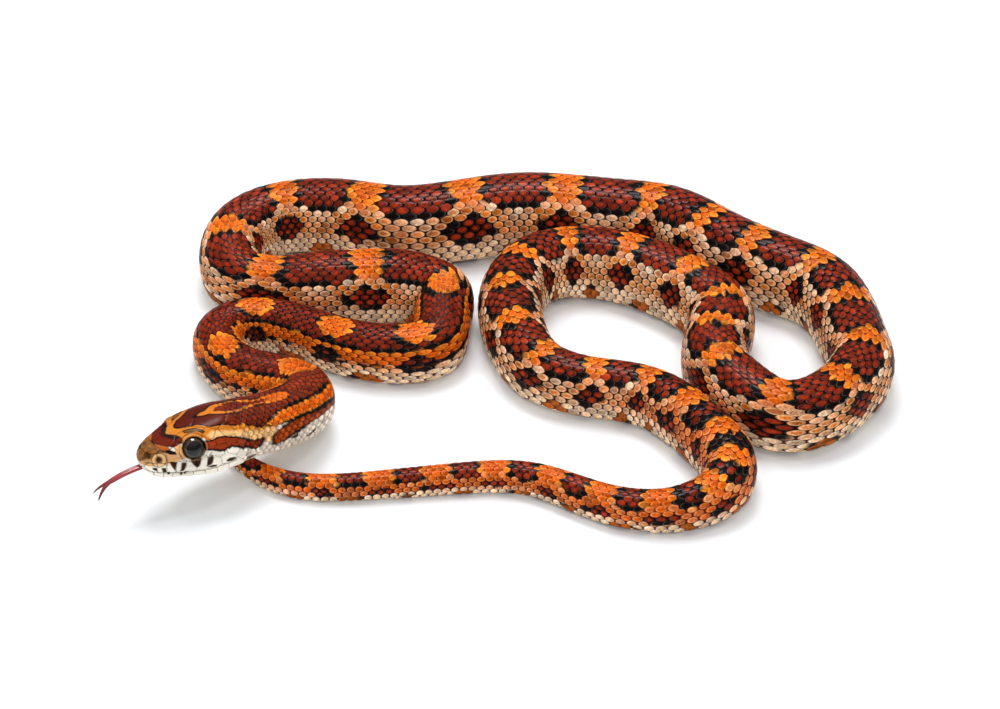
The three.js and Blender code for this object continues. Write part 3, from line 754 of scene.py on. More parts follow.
        lay(CENTRE, over(gold, self.orange, 0.35 + 0.5 * smooth(30, 38, s)))
        line(0.2 - np.abs(inside(s, a, CENTRE) + 0.12), self.black)
        lay(CENTRE_DARK, self.red * 0.7, 0.12, rim=0.7, gap=0.2)
        line(0.16 - np.abs(inside(s, a, BROW) - 0.02), self.black * 2)
        burnt = self.orange * 0.8
        lay(EYE_BAND, over(self.red * 0.95, burnt, 0.2), 0.45, rim=0.7, gap=0.12)
        rusty = over(self.red, burnt, 0.7 - 0.4 * smooth(38, 60, s))
        lay(SIDE_BLOTCH, rusty, 0.5, rim=0.8, gap=0.25)
        inner = inside(s, a, STRIPE)
        line(inner + 0.4 + 0.7 * smooth(38, 42, s) + waver, self.black)
        hot = over(self.orange * (1.1, 0.85, 0.4), self.amber, fade(inner, 0.45))
        layers = self.lay(layers, inner + waver * 1.5, (hot, hot * 1.1, self.orange * 0.45))
        for bar in LIP_BARS:
            ink = three(over(self.black * 1.6, self.rust, 0.08))
            layers = self.lay(layers, inside(s, a, bar) + 0.16 + waver * 0.6, ink, None, 0.14)
        return layers

    def paint(self, s, a):
        """Fill, rim and gap colour of the flanks and back, the head's marks blending in."""
        s, a = (np.array(v, float) for v in np.broadcast_arrays(s, a))
        layers = self.body_layers(s, a)
        head = 1 - smooth(55, 61, s + 1.5 * wave(41, s, a * 0.2))
        near = s < 63
        if near.any():
            for layer, above in zip(layers, self.head_layers(s[near], a[near])):
                layer[near] = over(layer[near], above, head[near])
        return [np.clip(layer, 0, 1) for layer in layers]

    def belly(self, s, a, index):
        """Cream plates with dark and rust checks, some on one half only."""
        side = np.where(a < 0, -1.0, 1.0)
        away = np.abs(a)
        grown = smooth(60, 120, s)
        fill = np.broadcast_to(over(self.white, self.cream, 0.35), np.broadcast(s, a).shape + (3,))
        check = smooth(0.1, 0.2, wave(53, index * 0.9 + side * 7.1, away * 0.045))
        check = check * grown * smooth(126, 131, away) * 0.92
        fill = over(fill, over(self.black * 1.5, self.rust, 0.2), check)
        edge = smooth(0.28, 0.36, wave(59, index * 1.3 + side * 3, away * 0.02))
        return over(fill, self.rust, edge * (1 - smooth(130, 142, away)) * grown * 0.85)


def strips(rows, columns, closed=False):
    """Quads between the rows of a grid of points, running round each row if closed."""
    r = np.arange(rows - 1)[:, None] * columns
    i = np.arange(columns if closed else columns - 1)[None]
    j = (i + 1) % columns
    return np.stack([r + i, r + j, r + columns + j, r + columns + i], -1).reshape(-1, 4)


def tube(points, ends):
    """Vertices and triangles of a tube of rings, closed by a fan at its first end or at both.

    Each end is the point in its middle. The faces are turned outwards by the sign of the
    volume that they bound.
    """
    rings, sides = points.shape[:2]
    quads, i = strips(rings, sides, True), np.arange(sides)
    j, n, last = (i + 1) % sides, rings * sides, (rings - 1) * sides
    fans = [(j, i, 0 * i + n), (last + i, last + j, 0 * i + n + 1)][:len(ends)]
    fans = [np.stack(fan, -1) for fan in fans]
    faces = np.concatenate([quads[:, [0, 1, 2]], quads[:, [0, 2, 3]], *fans])
    v = np.vstack([points.reshape(-1, 3), *ends])
    a, b, c = (v[faces[:, k]] - v.mean(0) for k in range(3))
    return v, faces[:, ::-1] if (a * np.cross(b, c)).sum() < 0 else faces


def tiles(quads, top, points, core):
    """The quads once for each tile, turned so that its first top quads look off the core."""
    count, n = points.shape[:2]
    faces = (quads[None] + (np.arange(count) * n)[:, None, None]).reshape(-1, 4)
    a, b, c = (points.reshape(-1, 3)[faces[:, k]] for k in range(3))
    normal = np.cross(b - a, c - a).reshape(count, -1, 3)[:, :top].sum(1)
    flip = (normal * (points.mean(1) - core)).sum(1) < 0
    return np.where(np.repeat(flip, len(quads))[:, None], faces[:, ::-1], faces)


def ring_grid(s, sides):
    """Distances and angles of rings of points, counted from under the belly."""
    phi = np.radians(-90 + (np.arange(sides) + 0.5) * 360 / sides)
    return np.meshgrid(s, phi, indexing="ij")


def ring_map(ss, pp, reach, ends):
    """A map from 0 to 1 with the distance along and the angle round, then the ends."""
    uv = np.stack([ss / reach, (np.degrees(pp) + 90) / 360], -1).reshape(-1, 2)
    return np.vstack([uv, ends]) * 0.998 + 0.001


def make_mesh(name, vertices, faces, uv, material, colours=None, cell=None):
    """A smooth-shaded object from whole arrays in mm, with its map and attributes."""
    mesh = bpy.data.meshes.new(name)
    f = np.asarray(faces, np.int32)
    mesh.vertices.add(len(vertices))
    mesh.vertices.foreach_set("co", (np.asarray(vertices, np.float32) * np.float32(MM)).ravel())
    mesh.loops.add(f.size)
    mesh.loops.foreach_set("vertex_index", f.ravel())
    mesh.polygons.add(len(f))
    mesh.polygons.foreach_set("loop_start", np.arange(0, f.size, f.shape[1], dtype=np.int32))
    mesh.polygons.foreach_set("use_smooth", np.ones(len(f), bool))
    mesh.update(calc_edges=True)
    mesh.validate()
    for key, value in (colours or {}).items():
        data = np.ones((len(vertices), 4), np.float32)
        data[:, :3] = value.reshape(-1, 3)
        attribute = mesh.attributes.new(key, "FLOAT_COLOR", "POINT")
        attribute.data.foreach_set("color", data.ravel())
    if cell is not None:
        attribute = mesh.attributes.new("cell", "FLOAT_VECTOR", "POINT")
        attribute.data.foreach_set("vector", cell.astype(np.float32).ravel())
    layer = mesh.uv_layers.new(name="OFBake")
    layer.data.foreach_set("uv", uv.reshape(-1, 2).astype(np.float32)[f.ravel()].ravel())
    mesh.materials.append(material)
    obj = bpy.data.objects.new(name, mesh)
    bpy.context.scene.collection.objects.link(obj)
    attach(obj, "root")
    return obj


def connect(slot, value):
    """Feeds a node's socket with another socket or with a plain value."""
    if isinstance(value, Socket):
        value.tree.links.new(value.socket, slot)
    else:
        slot.default_value = value


def add_node(tree, kind, output=0, inputs=None, **options):
    """Adds a node, its settings first and then its inputs, and gives one of its outputs."""
    node = tree.nodes.new("ShaderNode" + kind)
    for key, value in options.items():
        setattr(node, key, value)
    for key, value in (inputs or {}).items():
        connect(node.inputs[key], value)
    return Socket(tree, node.outputs[output])


class Socket:
    """A shader socket; arithmetic on it adds Math nodes."""

    def __init__(self, tree, socket):
        self.tree, self.socket = tree, socket

    def _math(self, operation, a, b):
        return add_node(self.tree, "Math", 0, {0: a, 1: b}, operation=operation)

    def __add__(self, other):
        return self._math("ADD", self, other)

    def __mul__(self, other):
        return self._math("MULTIPLY", self, other)

    def __sub__(self, other):
        return self._math("SUBTRACT", self, other)

    def __rsub__(self, other):
        return self._math("SUBTRACT", other, self)

    def __pow__(self, other):
        return self._math("POWER", self, other)

    __radd__, __rmul__ = __add__, __mul__

    def step(self, low, high):
        """A smooth step from 0 at low to 1 at high."""
        inputs = {"Value": self, "From Min": low, "From Max": high}
        return add_node(self.tree, "MapRange", 0, inputs, interpolation_type="SMOOTHSTEP")

    def parts(self):
        """The three numbers of a vector."""
        x = add_node(self.tree, "SeparateXYZ", 0, {0: self})
        return [Socket(self.tree, output) for output in x.socket.node.outputs]


class Shader:
    """One material round a Principled shader, whose constants are set by name."""

    def __init__(self, name, **constants):
        self.material = bpy.data.materials.new(name)
        self.material.use_nodes = True
        self.tree = self.material.node_tree
        self.bsdf = self.tree.nodes["Principled BSDF"]
        for key, value in constants.items():
            key = key.replace("_", " ").title().replace("Ior", "IOR")
            self.bsdf.inputs[key].default_value = value

    def attribute(self, name, output="Color"):
        """A colour or vector that the mesh carries."""
        return add_node(self.tree, "Attribute", output, attribute_name=name)

    def mix(self, factor, a, b, blend="MIX"):
        """The share factor of b over a, or b blended with it."""
        inputs = {0: factor, 6: a, 7: b}
        return add_node(self.tree, "Mix", 2, inputs, data_type="RGBA", blend_type=blend)

    def times(self, colour, *factors):
        """A colour with its red, green and blue multiplied."""
        return self.mix(1.0, colour, (*factors, 1), "MULTIPLY")

    def noise(self, scale, detail=2.0):
        """Noise from 0 to 1 with that many cells in a metre."""
        where = add_node(self.tree, "TexCoord", "Object")
        inputs = {"Scale": scale, "Detail": detail, "Vector": where}
        return add_node(self.tree, "TexNoise", 0, inputs)

    def feed(self, name, socket):
        """Links a socket of the Principled shader."""
        connect(self.bsdf.inputs[name], socket)

    def bump(self, height, strength, distance):
        """Fine relief on the normal."""
        inputs = {"Height": height, "Strength": strength, "Distance": distance}
        self.feed("Normal", add_node(self.tree, "Bump", 0, inputs))


def scale_material():
    """Satin scales: middle fill, edge rim, painted root shade, painted edge highlight, fine grain.
    """
    m = Shader("scales", ior=1.45, specular_ior_level=0.02, coat_weight=0.06, coat_roughness=0.1)
    p, q, r = m.attribute("cell", "Vector").parts()
    edge = ((p * p) + (q * q)) ** 0.5
    wavy = edge + (m.noise(520.0, 3.0) - 0.5) * 0.5 + (r - 0.5) * 0.24
    base = m.mix(wavy.step(0.38, 0.66), m.attribute("mark"), m.attribute("rim"))
    mottle = (m.noise(1300.0, 3.0) - 0.5) * 2.6 + 0.5
    base = m.mix(mottle, m.times(base, 0.66, 0.58, 0.54), m.times(base, 1.26, 1.26, 1.24))
    # Painted highlight near the free edge; painted shade on the root, as under the scale ahead.
    painted_highlight = (edge.step(0.6, 0.68) - edge.step(0.7, 0.8)) * p.step(-0.1, 0.5)
    base = m.mix(painted_highlight * 0.3, base, m.mix(1.0, base, (0.2, 0.13, 0.11, 1), "ADD"))
    base = m.mix(p.step(-1.0, 0.1) * 0.65 + 0.35, m.times(base, 0.22, 0.16, 0.16), base)
    fine = m.noise(2600.0, 3.0)
    m.feed("Base Color", m.mix(edge.step(0.72, 0.86), base, m.attribute("gap")))
    m.feed("Roughness", fine * 0.14 + 0.26)
    m.bump(fine, 0.2, 0.00006)
    return m.material


def plain_material(name, roughness, coat):
    """The mesh's own colours under a soft mottle, with fine grain."""
    m = Shader(name, ior=1.45, specular_ior_level=0.05, coat_weight=coat, coat_roughness=0.12)
    base, fine = m.attribute("mark"), m.noise(3200.0, 2.0)
    dark, light = m.times(base, 0.86, 0.84, 0.84), m.times(base, 1.1, 1.1, 1.08)
    m.feed("Base Color", m.mix(m.noise(700.0, 3.0), dark, light))
    m.feed("Roughness", fine * 0.12 + (roughness - 0.06))
    m.bump(fine, 0.15, 0.00006)
    return m.material


def eye_material(pupil):
    """A dark wet eye: round black pupil, brown iris with a lighter ring, dark rim."""
    m = Shader("eye", ior=1.45, specular_ior_level=0.3, roughness=0.08,
               coat_weight=0.3, coat_roughness=0.03)
    away = m.attribute("cell", "Vector").parts()[0]
    iris = m.mix(m.noise(2400.0, 4.0), (0.012, 0.007, 0.005, 1), (0.05, 0.028, 0.018, 1))
    iris = m.mix(away.step(pupil, pupil + 0.12), (0.07, 0.035, 0.02, 1), iris)
    ball = m.mix(away.step(pupil - 0.03, pupil + 0.03), (0.002, 0.002, 0.002, 1), iris)
    m.feed("Base Color", m.mix(away.step(0.93, 1.0), ball, (0.004, 0.003, 0.003, 1)))
    return m.material


def tongue_material():
    """Moist flesh, its colour along the mesh broken by darker clouds."""
    m = Shader("tongue", ior=1.4, roughness=0.28, coat_weight=0.6, coat_roughness=0.1,
               subsurface_weight=0.15, subsurface_scale=0.0008)
    base = m.attribute("mark")
    m.feed("Base Color", m.mix(m.noise(900.0, 3.0), base, m.times(base, 0.5, 0.35, 0.35)))
    m.bump(m.noise(2600.0, 2.0), 0.2, 0.0001)
    return m.material


def eye_frame(body, sign):
    """Centre and axis of an eye in the world, sign +1 for the animal's right."""
    head = settings().head
    s, side, height = (v / MM for v in head.eye_at)
    back, out, up = head.eye_axis
    centre = body.place(s, side * sign, height)
    return centre, unit(body.place(s + back, (side + out) * sign, height + up) - centre)


def around_eye(body, points):
    """Distance from the nearer eye's axis, how far out along it, and the axis."""
    eyes = []
    for sign in (1, -1):
        centre, axis = eye_frame(body, sign)
        q = points - centre
        along = q @ axis
        away = np.linalg.norm(q - along[..., None] * axis, axis=-1)
        eyes.append((np.where(along > -0.6, away, 99.0)[..., None], along[..., None], axis + 0 * q))
    nearer = eyes[1][0] < eyes[0][0]
    return [np.where(nearer, left, right) for right, left in zip(*eyes)]


def open_eyes(body, points, rim):
    """Sinks the surface inside each eye's rim behind the ball and raises a rim round it."""
    radius = settings().head.eye_radius / MM
    away, along, axis = around_eye(body, points)
    lip = rim * bump(away, radius * 1.06, 0.3)
    sink = smooth(radius * 0.99, radius * 0.9, away) * np.maximum(along + 0.8, 0)
    return points + axis * (lip - sink)


def head_seeds(body):
    """The seeds of each head plate as points (s, side, height), lip plates along the mouth."""
    groups = [np.array(g, float) for g in MIDDLE_PLATES]
    groups += [np.array(g, float) * (1, sign) for g in PAIRED_PLATES for sign in (1, -1)]
    psi = np.linspace(60, 170, 441)
    for row, above in ((SUPRALABIALS, 1.25), (INFRALABIALS, -1.0)):
        for s in row:
            height = body.outline(np.full(psi.shape, s), np.radians(90 + psi))[1]
            down = psi[np.argmin(np.abs(height - (body.mouth(s) + above)))]
            groups += [np.array([(s, down * sign)]) for sign in (1, -1)]
    outlines = [(g[:, 0], *body.outline(g[:, 0], np.radians(90 + g[:, 1]))) for g in groups]
    return [np.stack(outline, -1) for outline in outlines]


def plate_relief(body, s, phi):
    """Height of the head plates, nearness to the mouth, distance to a groove, plate's number.

    A plate is the ground nearest its seeds, and the ground between two plates sinks into a
    groove where their seeds are about equally far.
    """
    head = settings().head
    side, height = body.outline(s, phi)
    here = np.stack([s, side, height], -1)[..., None, :]
    near = np.stack([np.linalg.norm(here - g, axis=-1).min(-1) for g in head_seeds(body)], -1)
    two = np.partition(near, 1, axis=-1)
    gap = two[..., 1] - two[..., 0]
    relief = 0.07 * smooth(0, 1.1, gap) - head.groove / MM * bump(gap, 0, 0.22)
    end = head.mouth_end / MM
    mouth = bump(height, body.mouth(np.minimum(s, end)), 0.17)
    mouth = mouth * (1 - smooth(end - 0.6, end + 0.2, s))
    return relief, mouth, gap, near.argmin(-1)


def nostril_gap(body, points):
    """Distance to the nearer nostril's middle, in its radii."""
    head = settings().head
    s, down = head.nostril_at / MM, head.nostril_down
    pits = [body.surface(s, np.pi / 2 + sign * down) for sign in (1, -1)]
    away = np.minimum(*(np.linalg.norm(points - pit, axis=-1) for pit in pits))
    return away / (head.nostril / MM)


class SNAKE_OT_skin(bpy.types.Operator):
    """Make one skin over all the flesh, with the markings, under the scales"""

    bl_idname = "snake.skin"
    bl_label = "Skin"

    def execute(self, context):
        """Rings round the route, fine on the head, sunk a little under the scales."""
        body, marks = BODY["body"], BODY["marks"]
        head = np.concatenate([[0.02, 0.1, 0.25, 0.45, 0.7, 1.0], np.arange(1.3, 46, 0.45)])
        s = np.concatenate([head, np.arange(46.4, body.length, 1.1), [body.length]])
        ss, pp = ring_grid(s, SKIN_SIDES)
        a = body.angle_at(ss, pp)
        depth = settings().form.depth / MM + 1.0 * (1 - smooth(22, 24.5, ss))
        points = body.surface(ss, pp, -np.minimum(depth, body.half(ss) * 0.25))
        near = s < 30
        points[near] = open_eyes(body, points[near], 0.0)
        under = (np.abs(a) > body.belly_edge)[..., None]
        white = marks.belly(ss, a, np.round(ss / BELLY_STEP)) * 0.6
        colour = np.where(under, white, marks.paint(ss, a)[2])
        v, faces = tube(points, (points[0].mean(0), points[-1].mean(0)))
        mark = np.vstack([colour.reshape(-1, 3), colour[0, 0], colour[-1, 0]])
        uv = ring_map(ss, pp, body.length, ((0, 0.5), (1, 0.5)))
        obj = make_mesh("skin", v, faces, uv, plain_material("skin", 0.45, 0.1), {"mark": mark})
        flesh = ("head", "lower_jaw", "neck", "body", "tail")
        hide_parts(*(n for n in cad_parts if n.startswith(flesh)))
        return {"FINISHED"}


def scale_centres(body):
    """Where each scale of the back and flanks sits: s, t, row spacing and step.

    Rows run along the body, every other one half a step further back, and lie wider apart
    towards the belly.
    """
    step, rows = through(SCALE_STEP), through(SCALE_ROWS)
    s, count = places(step, COAT_START, body.length - 1.5)
    half_rows = FULL_ROWS // 2
    rr, ii = np.meshgrid(np.arange(-half_rows, half_rows + 1), np.arange(int(count[-1]) + 1),
                         indexing="ij")
    order = ii + 0.5 * (rr % 2)
    at = np.interp(order, count, s)
    u = 2 * rr / rows(at)
    t = u + 0.1 * (u**3 - u)
    keep = (np.abs(t) < 1 + 0.6 / rows(at)) & (order < count[-1])
    at, t, u = at[keep], t[keep], u[keep]
    return at, t, 2 * body.arc * body.half(at) / rows(at) * (0.9 + 0.3 * u**2), step(at)


class ScaleGrid:
    """One scale as a rounded grid, p along it and q across, with a skirt below its edge."""

    def __init__(self, rows=7, columns=5):
        p, q = np.meshgrid(np.linspace(-1, 1, rows), np.linspace(-1, 1, columns), indexing="ij")
        self.p, self.q = (p * np.sqrt(1 - q * q / 2)).ravel(), (q * np.sqrt(1 - p * p / 2)).ravel()
        g = np.arange(rows * columns).reshape(rows, columns)
        self.rim = np.concatenate([g[0, :-1], g[:-1, -1], g[-1, :0:-1], g[:0:-1, 0]])
        self.pick = np.concatenate([g.ravel(), self.rim])
        self.top = strips(rows, columns)
        below = g.size + np.arange(len(self.rim))
        skirt = (self.rim, np.roll(self.rim, -1), np.roll(below, -1), below)
        self.quads = np.vstack([self.top, np.stack(skirt, -1)])


def scale_coat(name, grid, material, rng, ends, centres):
    """One length of the coat: scales keeled and pointed on the back, rounder on the flank.

    A scale rises from root to tip, is domed across, and shrinks on the neck. Its colours are
    those of the place under its middle, with a share of what lies under each of its points.
    """
    body, k, (s, t, w, step) = BODY["body"], settings().scales, centres
    p, q, rim, pick = grid.p, grid.q, grid.rim, grid.pick
    jitter = np.clip(rng.normal(size=(len(s), 3)), -2, 2) * (0.03, 0.04, 0.3)
    flank, low = smooth(0.27, 0.46, np.abs(t)), smooth(0.8, 0.95, np.abs(t))
    long = (0.66 - 0.12 * flank + 0.01 * low) * (1 + jitter[:, 1:2])
    wide = (0.98 - 0.29 * flank + 0.14 * low) * (1 + jitter[:, :1])
    taper = 1 - (0.5 - 0.48 * flank) * np.abs(p) ** 1.3
    along = s + p * long * step
    around = t + q * taper * wide * w / (body.arc * body.half(s))
    size = np.minimum(1, w / 1.3) * (0.35 + 0.65 * smooth(40, 100, s))
    rise = k.rise * (1 - 0.7 * flank) * w * (1 + 0.3 * jitter[:, 2:3])
    out = (-0.17 + k.dome / MM * (1.3 - np.hypot(p, q)**3)) * size + rise * 0.5 * p
    out = out + k.keel / MM * size * bump(q, 0, 0.2) * (1 - flank) * smooth(-0.9, -0.2, p)
    foot = np.minimum(out[:, rim] - k.edge / MM * size, -0.3 * size)
    outs = np.concatenate([out, foot], axis=1)
    v = body.surface(along[:, pick], body.phi_of(along, around)[:, pick], outs)
    faces = tiles(grid.quads, len(grid.top), v, body.core(s[:, 0], body.half(s[:, 0])))

    blend = k.blend + 0.5 * (1 - smooth(45, 75, s))
    where = s + (along - s) * blend, body.angle(t + (around - t) * blend)
    tone = 0.8 * jitter[:, 2][:, None, None]
    layers = zip(("mark", "rim", "gap"), BODY["marks"].paint(*where), (1 + tone, 1 + 0.4 * tone, 1))
    colours = {key: (layer * shade)[:, pick] for key, layer, shade in layers}
    # The cell attribute holds p and q, a little past the rim on the skirt, and a random number.
    spread = np.where(np.arange(len(pick)) < len(p), 1, 1.05)
    cell = np.empty((len(s), len(pick), 3))
    cell[..., 0], cell[..., 1] = p[pick] * spread, q[pick] * spread
    cell[..., 2] = rng.uniform(size=(len(s), 1))
    start, end = ends
    uv = np.concatenate([0.01 + 0.98 * (s - start) / (end - start), 0.5 + 0.48 * t], 1)
    uv = uv[:, None] + 0.0015 * cell[..., :2]
    return make_mesh(name, v.reshape(-1, 3), faces, uv, material, colours, cell)


class SNAKE_OT_scales(bpy.types.Operator):
    """Lay overlapping scales over the back and flanks as joined meshes"""

    bl_idname = "snake.scales"
    bl_label = "Scales"

    def execute(self, context):
        """The coat in equal lengths of the body, every length one mesh."""
        k, grid, material = settings().scales, ScaleGrid(), scale_material()
        rng = np.random.default_rng(k.seed)
        centres = scale_centres(BODY["body"])
        s = centres[0]
        edges = np.linspace(s.min() - 1, s.max() + 1, k.pieces + 1)
        for piece, ends in enumerate(zip(edges, edges[1:])):
            here = (s >= ends[0]) & (s < ends[1])
            name = "scales_%02d" % (piece + 1)
            obj = scale_coat(name, grid, material, rng, ends, [v[here][:, None] for v in centres])
        return {"FINISHED"}


class SNAKE_OT_belly(bpy.types.Operator):
    """Lay the broad plates across the belly, each with a free rear edge"""

    bl_idname = "snake.belly"
    bl_label = "Belly plates"

    def execute(self, context):
        """Each plate is a grid, p along it and q across, with one more row for its rear edge."""
        body = BODY["body"]
        start, end = 25.0, body.length - 2
        step = through(SCALE_STEP)
        s, count = places(step, start, end)
        at = np.interp(np.arange(int(count[-1])), count, s)[:, None, None]
        rows, columns = 7, 25
        p = np.append(np.linspace(-1, 1, rows - 1), 1)[None, :, None]
        q = np.linspace(-1, 1, columns)[None, None, :]
        last = (np.arange(rows) == rows - 1)[None, :, None]
        span = 180 - body.belly_edge + 5
        along = at + (p * 0.62 + 0.16 * (1 - q * q)) * step(at)
        size = np.minimum(1, body.half(at) / 4)
        out = (-0.26 + 0.17 * (p * 0.5 + 0.5) * (0.4 + 0.6 * np.abs(q)) - 0.3 * last) * size
        v = body.surface(along, np.radians(-90 + q * span), out).reshape(len(at), -1, 3)
        faces = tiles(strips(rows, columns), (rows - 2) * (columns - 1), v,
                      body.core(at[:, 0, 0], body.half(at[:, 0, 0])))
        a = -np.sign(q + 1e-9) * (180 - np.abs(q) * span) + 0 * at
        index = np.arange(len(at))[:, None, None]
        # Painted shade: the dropped row at each plate's rear edge is a quarter darker.
        mark = BODY["marks"].belly(at, a, index) * (1 - 0.25 * last)[..., None]
        far = 0.01 + 0.98 * (at - start) / (end - start)
        far = far + 0.0015 * np.linspace(-1, 1, rows)[None, :, None]
        uv = np.stack(np.broadcast_arrays(far, 0.5 + 0.48 * q), -1)
        obj = make_mesh("belly_plates", v.reshape(-1, 3), faces, uv,
                        plain_material("belly_plates", 0.32, 0.12), {"mark": mark})
        return {"FINISHED"}


class SNAKE_OT_head(bpy.types.Operator):
    """Lay the plates of the head over the skin, with eye rims, nostrils and mouth"""

    bl_idname = "snake.head"
    bl_label = "Head plates"

    def execute(self, context):
        """A fine tube over the head, moved out by the plates' relief and in at pits and grooves."""
        body, marks = BODY["body"], BODY["marks"]
        snout = (0.015, 0.05, 0.1, 0.17, 0.26, 0.38, 0.52, 0.7, 0.9)
        ss, pp = ring_grid(np.append(snout, np.arange(1.1, 27.2, 0.2)), HEAD_SIDES)
        relief, mouth, gap, cell = plate_relief(body, ss, pp)
        tuck = 0.6 * smooth(25.2, 27.0, ss + 0.5 * np.cos(pp * 18))
        out = (0.02 + relief - 0.5 * mouth - tuck) * np.minimum(1, ss / 0.5 + 0.1)
        points, plain = body.surface(ss, pp, out), body.surface(ss, pp)
        hole = nostril_gap(body, plain)
        pit = 1 - smooth(0.65, 1.1, hole)
        points = points - (points - body.surface(ss, pp, out - 0.5)) * 1.6 * pit[..., None]
        points = open_eyes(body, points, 0.1)

        away = around_eye(body, plain)[0][..., 0] / (settings().head.eye_radius / MM)
        # Painted shade: grooves between plates, the mouth line, nostril pits and two rings round
        # each eye.
        shade = 1 - 0.8 * bump(gap, 0, 0.13 + 0.07 * (1 - smooth(7, 9, ss)))
        shade = shade * (1 - 0.85 * mouth) * (1 - 0.9 * pit)
        shade = shade * (1 - 0.94 * bump(away, 0.99, 0.08)) * (1 - 0.7 * bump(away, 1.27, 0.04))
        fill = marks.paint(ss, body.angle_at(ss, pp))[0]
        lid = over(marks.cream, marks.amber, 0.5) * 0.62
        fill = over(fill, lid, 0.5 * bump(away, 1.12, 0.06))
        fill = over(fill, over(marks.cream, marks.tan, 0.3), 0.9 * bump(hole, 1.5, 0.35))
        fill = over(fill, marks.black * 3, 0.75 * bump(hole, 2.0, 0.14))
        colour = fill * (1 + 0.1 * np.sin(cell * 12.9898))[..., None] * shade[..., None]
        v, faces = tube(points, (points[0].mean(0),))
        mark = np.vstack([colour.reshape(-1, 3), colour[0, 0]])
        obj = make_mesh("head_plates", v, faces, ring_map(ss, pp, 28, ((0, 0.5),)),
                        plain_material("head_plates", 0.38, 0.04), {"mark": mark})
        return {"FINISHED"}


class SNAKE_OT_eyes(bpy.types.Operator):
    """Set a ball with pupil and iris in each socket"""

    bl_idname = "snake.eyes"
    bl_label = "Eyes"

    def execute(self, context):
        """Rings round the eye's axis, from its front to well behind its widest place."""
        head = settings().head
        material = eye_material(head.pupil)
        r, rings, sides = head.eye_radius / MM, 60, 96
        front, back = np.radians(0.5), np.radians(119)
        a, b = np.meshgrid(np.linspace(front, back, rings), np.arange(sides) * 2 * np.pi / sides,
                           indexing="ij")
        away = np.append(np.where(a < np.pi / 2, np.sin(a), 1.0), [0, 1])
        a, b = a[..., None], b[..., None]
        for name, sign in (("eye_left", -1), ("eye_right", 1)):
            centre, axis = eye_frame(BODY["body"], sign)
            across = unit(np.cross((0, 0, 1), axis))
            up = np.cross(axis, across)
            points = np.cos(a) * axis + np.sin(a) * (np.cos(b) * across + np.sin(b) * up)
            v, faces = tube(points, (axis, np.cos(back) * axis))
            uv = 0.5 + 0.45 * np.stack([v @ across, v @ up], -1)
            cell = np.stack([away, 0 * away, 0 * away], -1)
            obj = make_mesh(name + "_ball", centre + r * v, faces, uv, material, None, cell)
            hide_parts(name)
        return {"FINISHED"}


def strand(body, rows, sign, sides=24, rings=40):
    """A tapering flattened strand ahead of the snout, rounded off and closed at both ends."""
    r = np.array(rows, float)
    u = np.linspace(0, 1, rings)
    at = r[0, 0] + (r[-1, 0] - r[0, 0]) * u
    side, height, radius = (through(r, k)(at) for k in (1, 2, 3))
    radius = radius * np.sqrt(np.clip(1 - np.clip((u - 0.9) / 0.1, 0, 1) ** 2, 0.02, 1))
    x, y, _, tx, ty = body.axis(0.0)
    x, y = x - tx * at - ty * side * sign, y - ty * at + tx * side * sign
    centre = np.stack([x, y, height], -1)
    along = unit(np.gradient(centre, axis=0))
    across = unit(np.cross((0, 0, 1), along))
    up = np.cross(along, across)[:, None]
    a = np.arange(sides)[:, None] * 2 * np.pi / sides
    crease = settings().head.flatness * np.sin(a) * (1 - 0.3 * bump(np.degrees(a), 90, 24))
    points = centre[:, None] + radius[:, None, None] * (np.cos(a) * across[:, None] + crease * up)
    return (*tube(points, (centre[0], centre[-1])), np.append(np.repeat(at, sides), at[[0, -1]]))


class SNAKE_OT_tongue(bpy.types.Operator):
    """Make the forked tongue"""

    bl_idname = "snake.tongue"
    bl_label = "Tongue"

    def execute(self, context):
        """A stem and two tips that start inside it."""
        strands = [strand(BODY["body"], rows, sign)
                   for rows, sign in ((TONGUE_STEM, 1), (TONGUE_TINE, 1), (TONGUE_TINE, -1))]
        v, _, far = (np.concatenate(parts) for parts in zip(*strands))
        starts = np.cumsum([0] + [len(points) for points, _, _ in strands])
        faces = np.concatenate([f + start for (_, f, _), start in zip(strands, starts)])
        mark = over(linear((0.66, 0.2, 0.2)), linear((0.4, 0.17, 0.15)), smooth(6, 13, far))
        high = (v[:, 2] - v[:, 2].min()) / np.ptp(v[:, 2])
        uv = np.stack([0.05 + 0.9 * (far + 5) / 18, 0.2 + 0.6 * high], -1)
        obj = make_mesh("tongue_forked", v, faces, uv, tongue_material(), {"mark": mark})
        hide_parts("tongue")
        return {"FINISHED"}


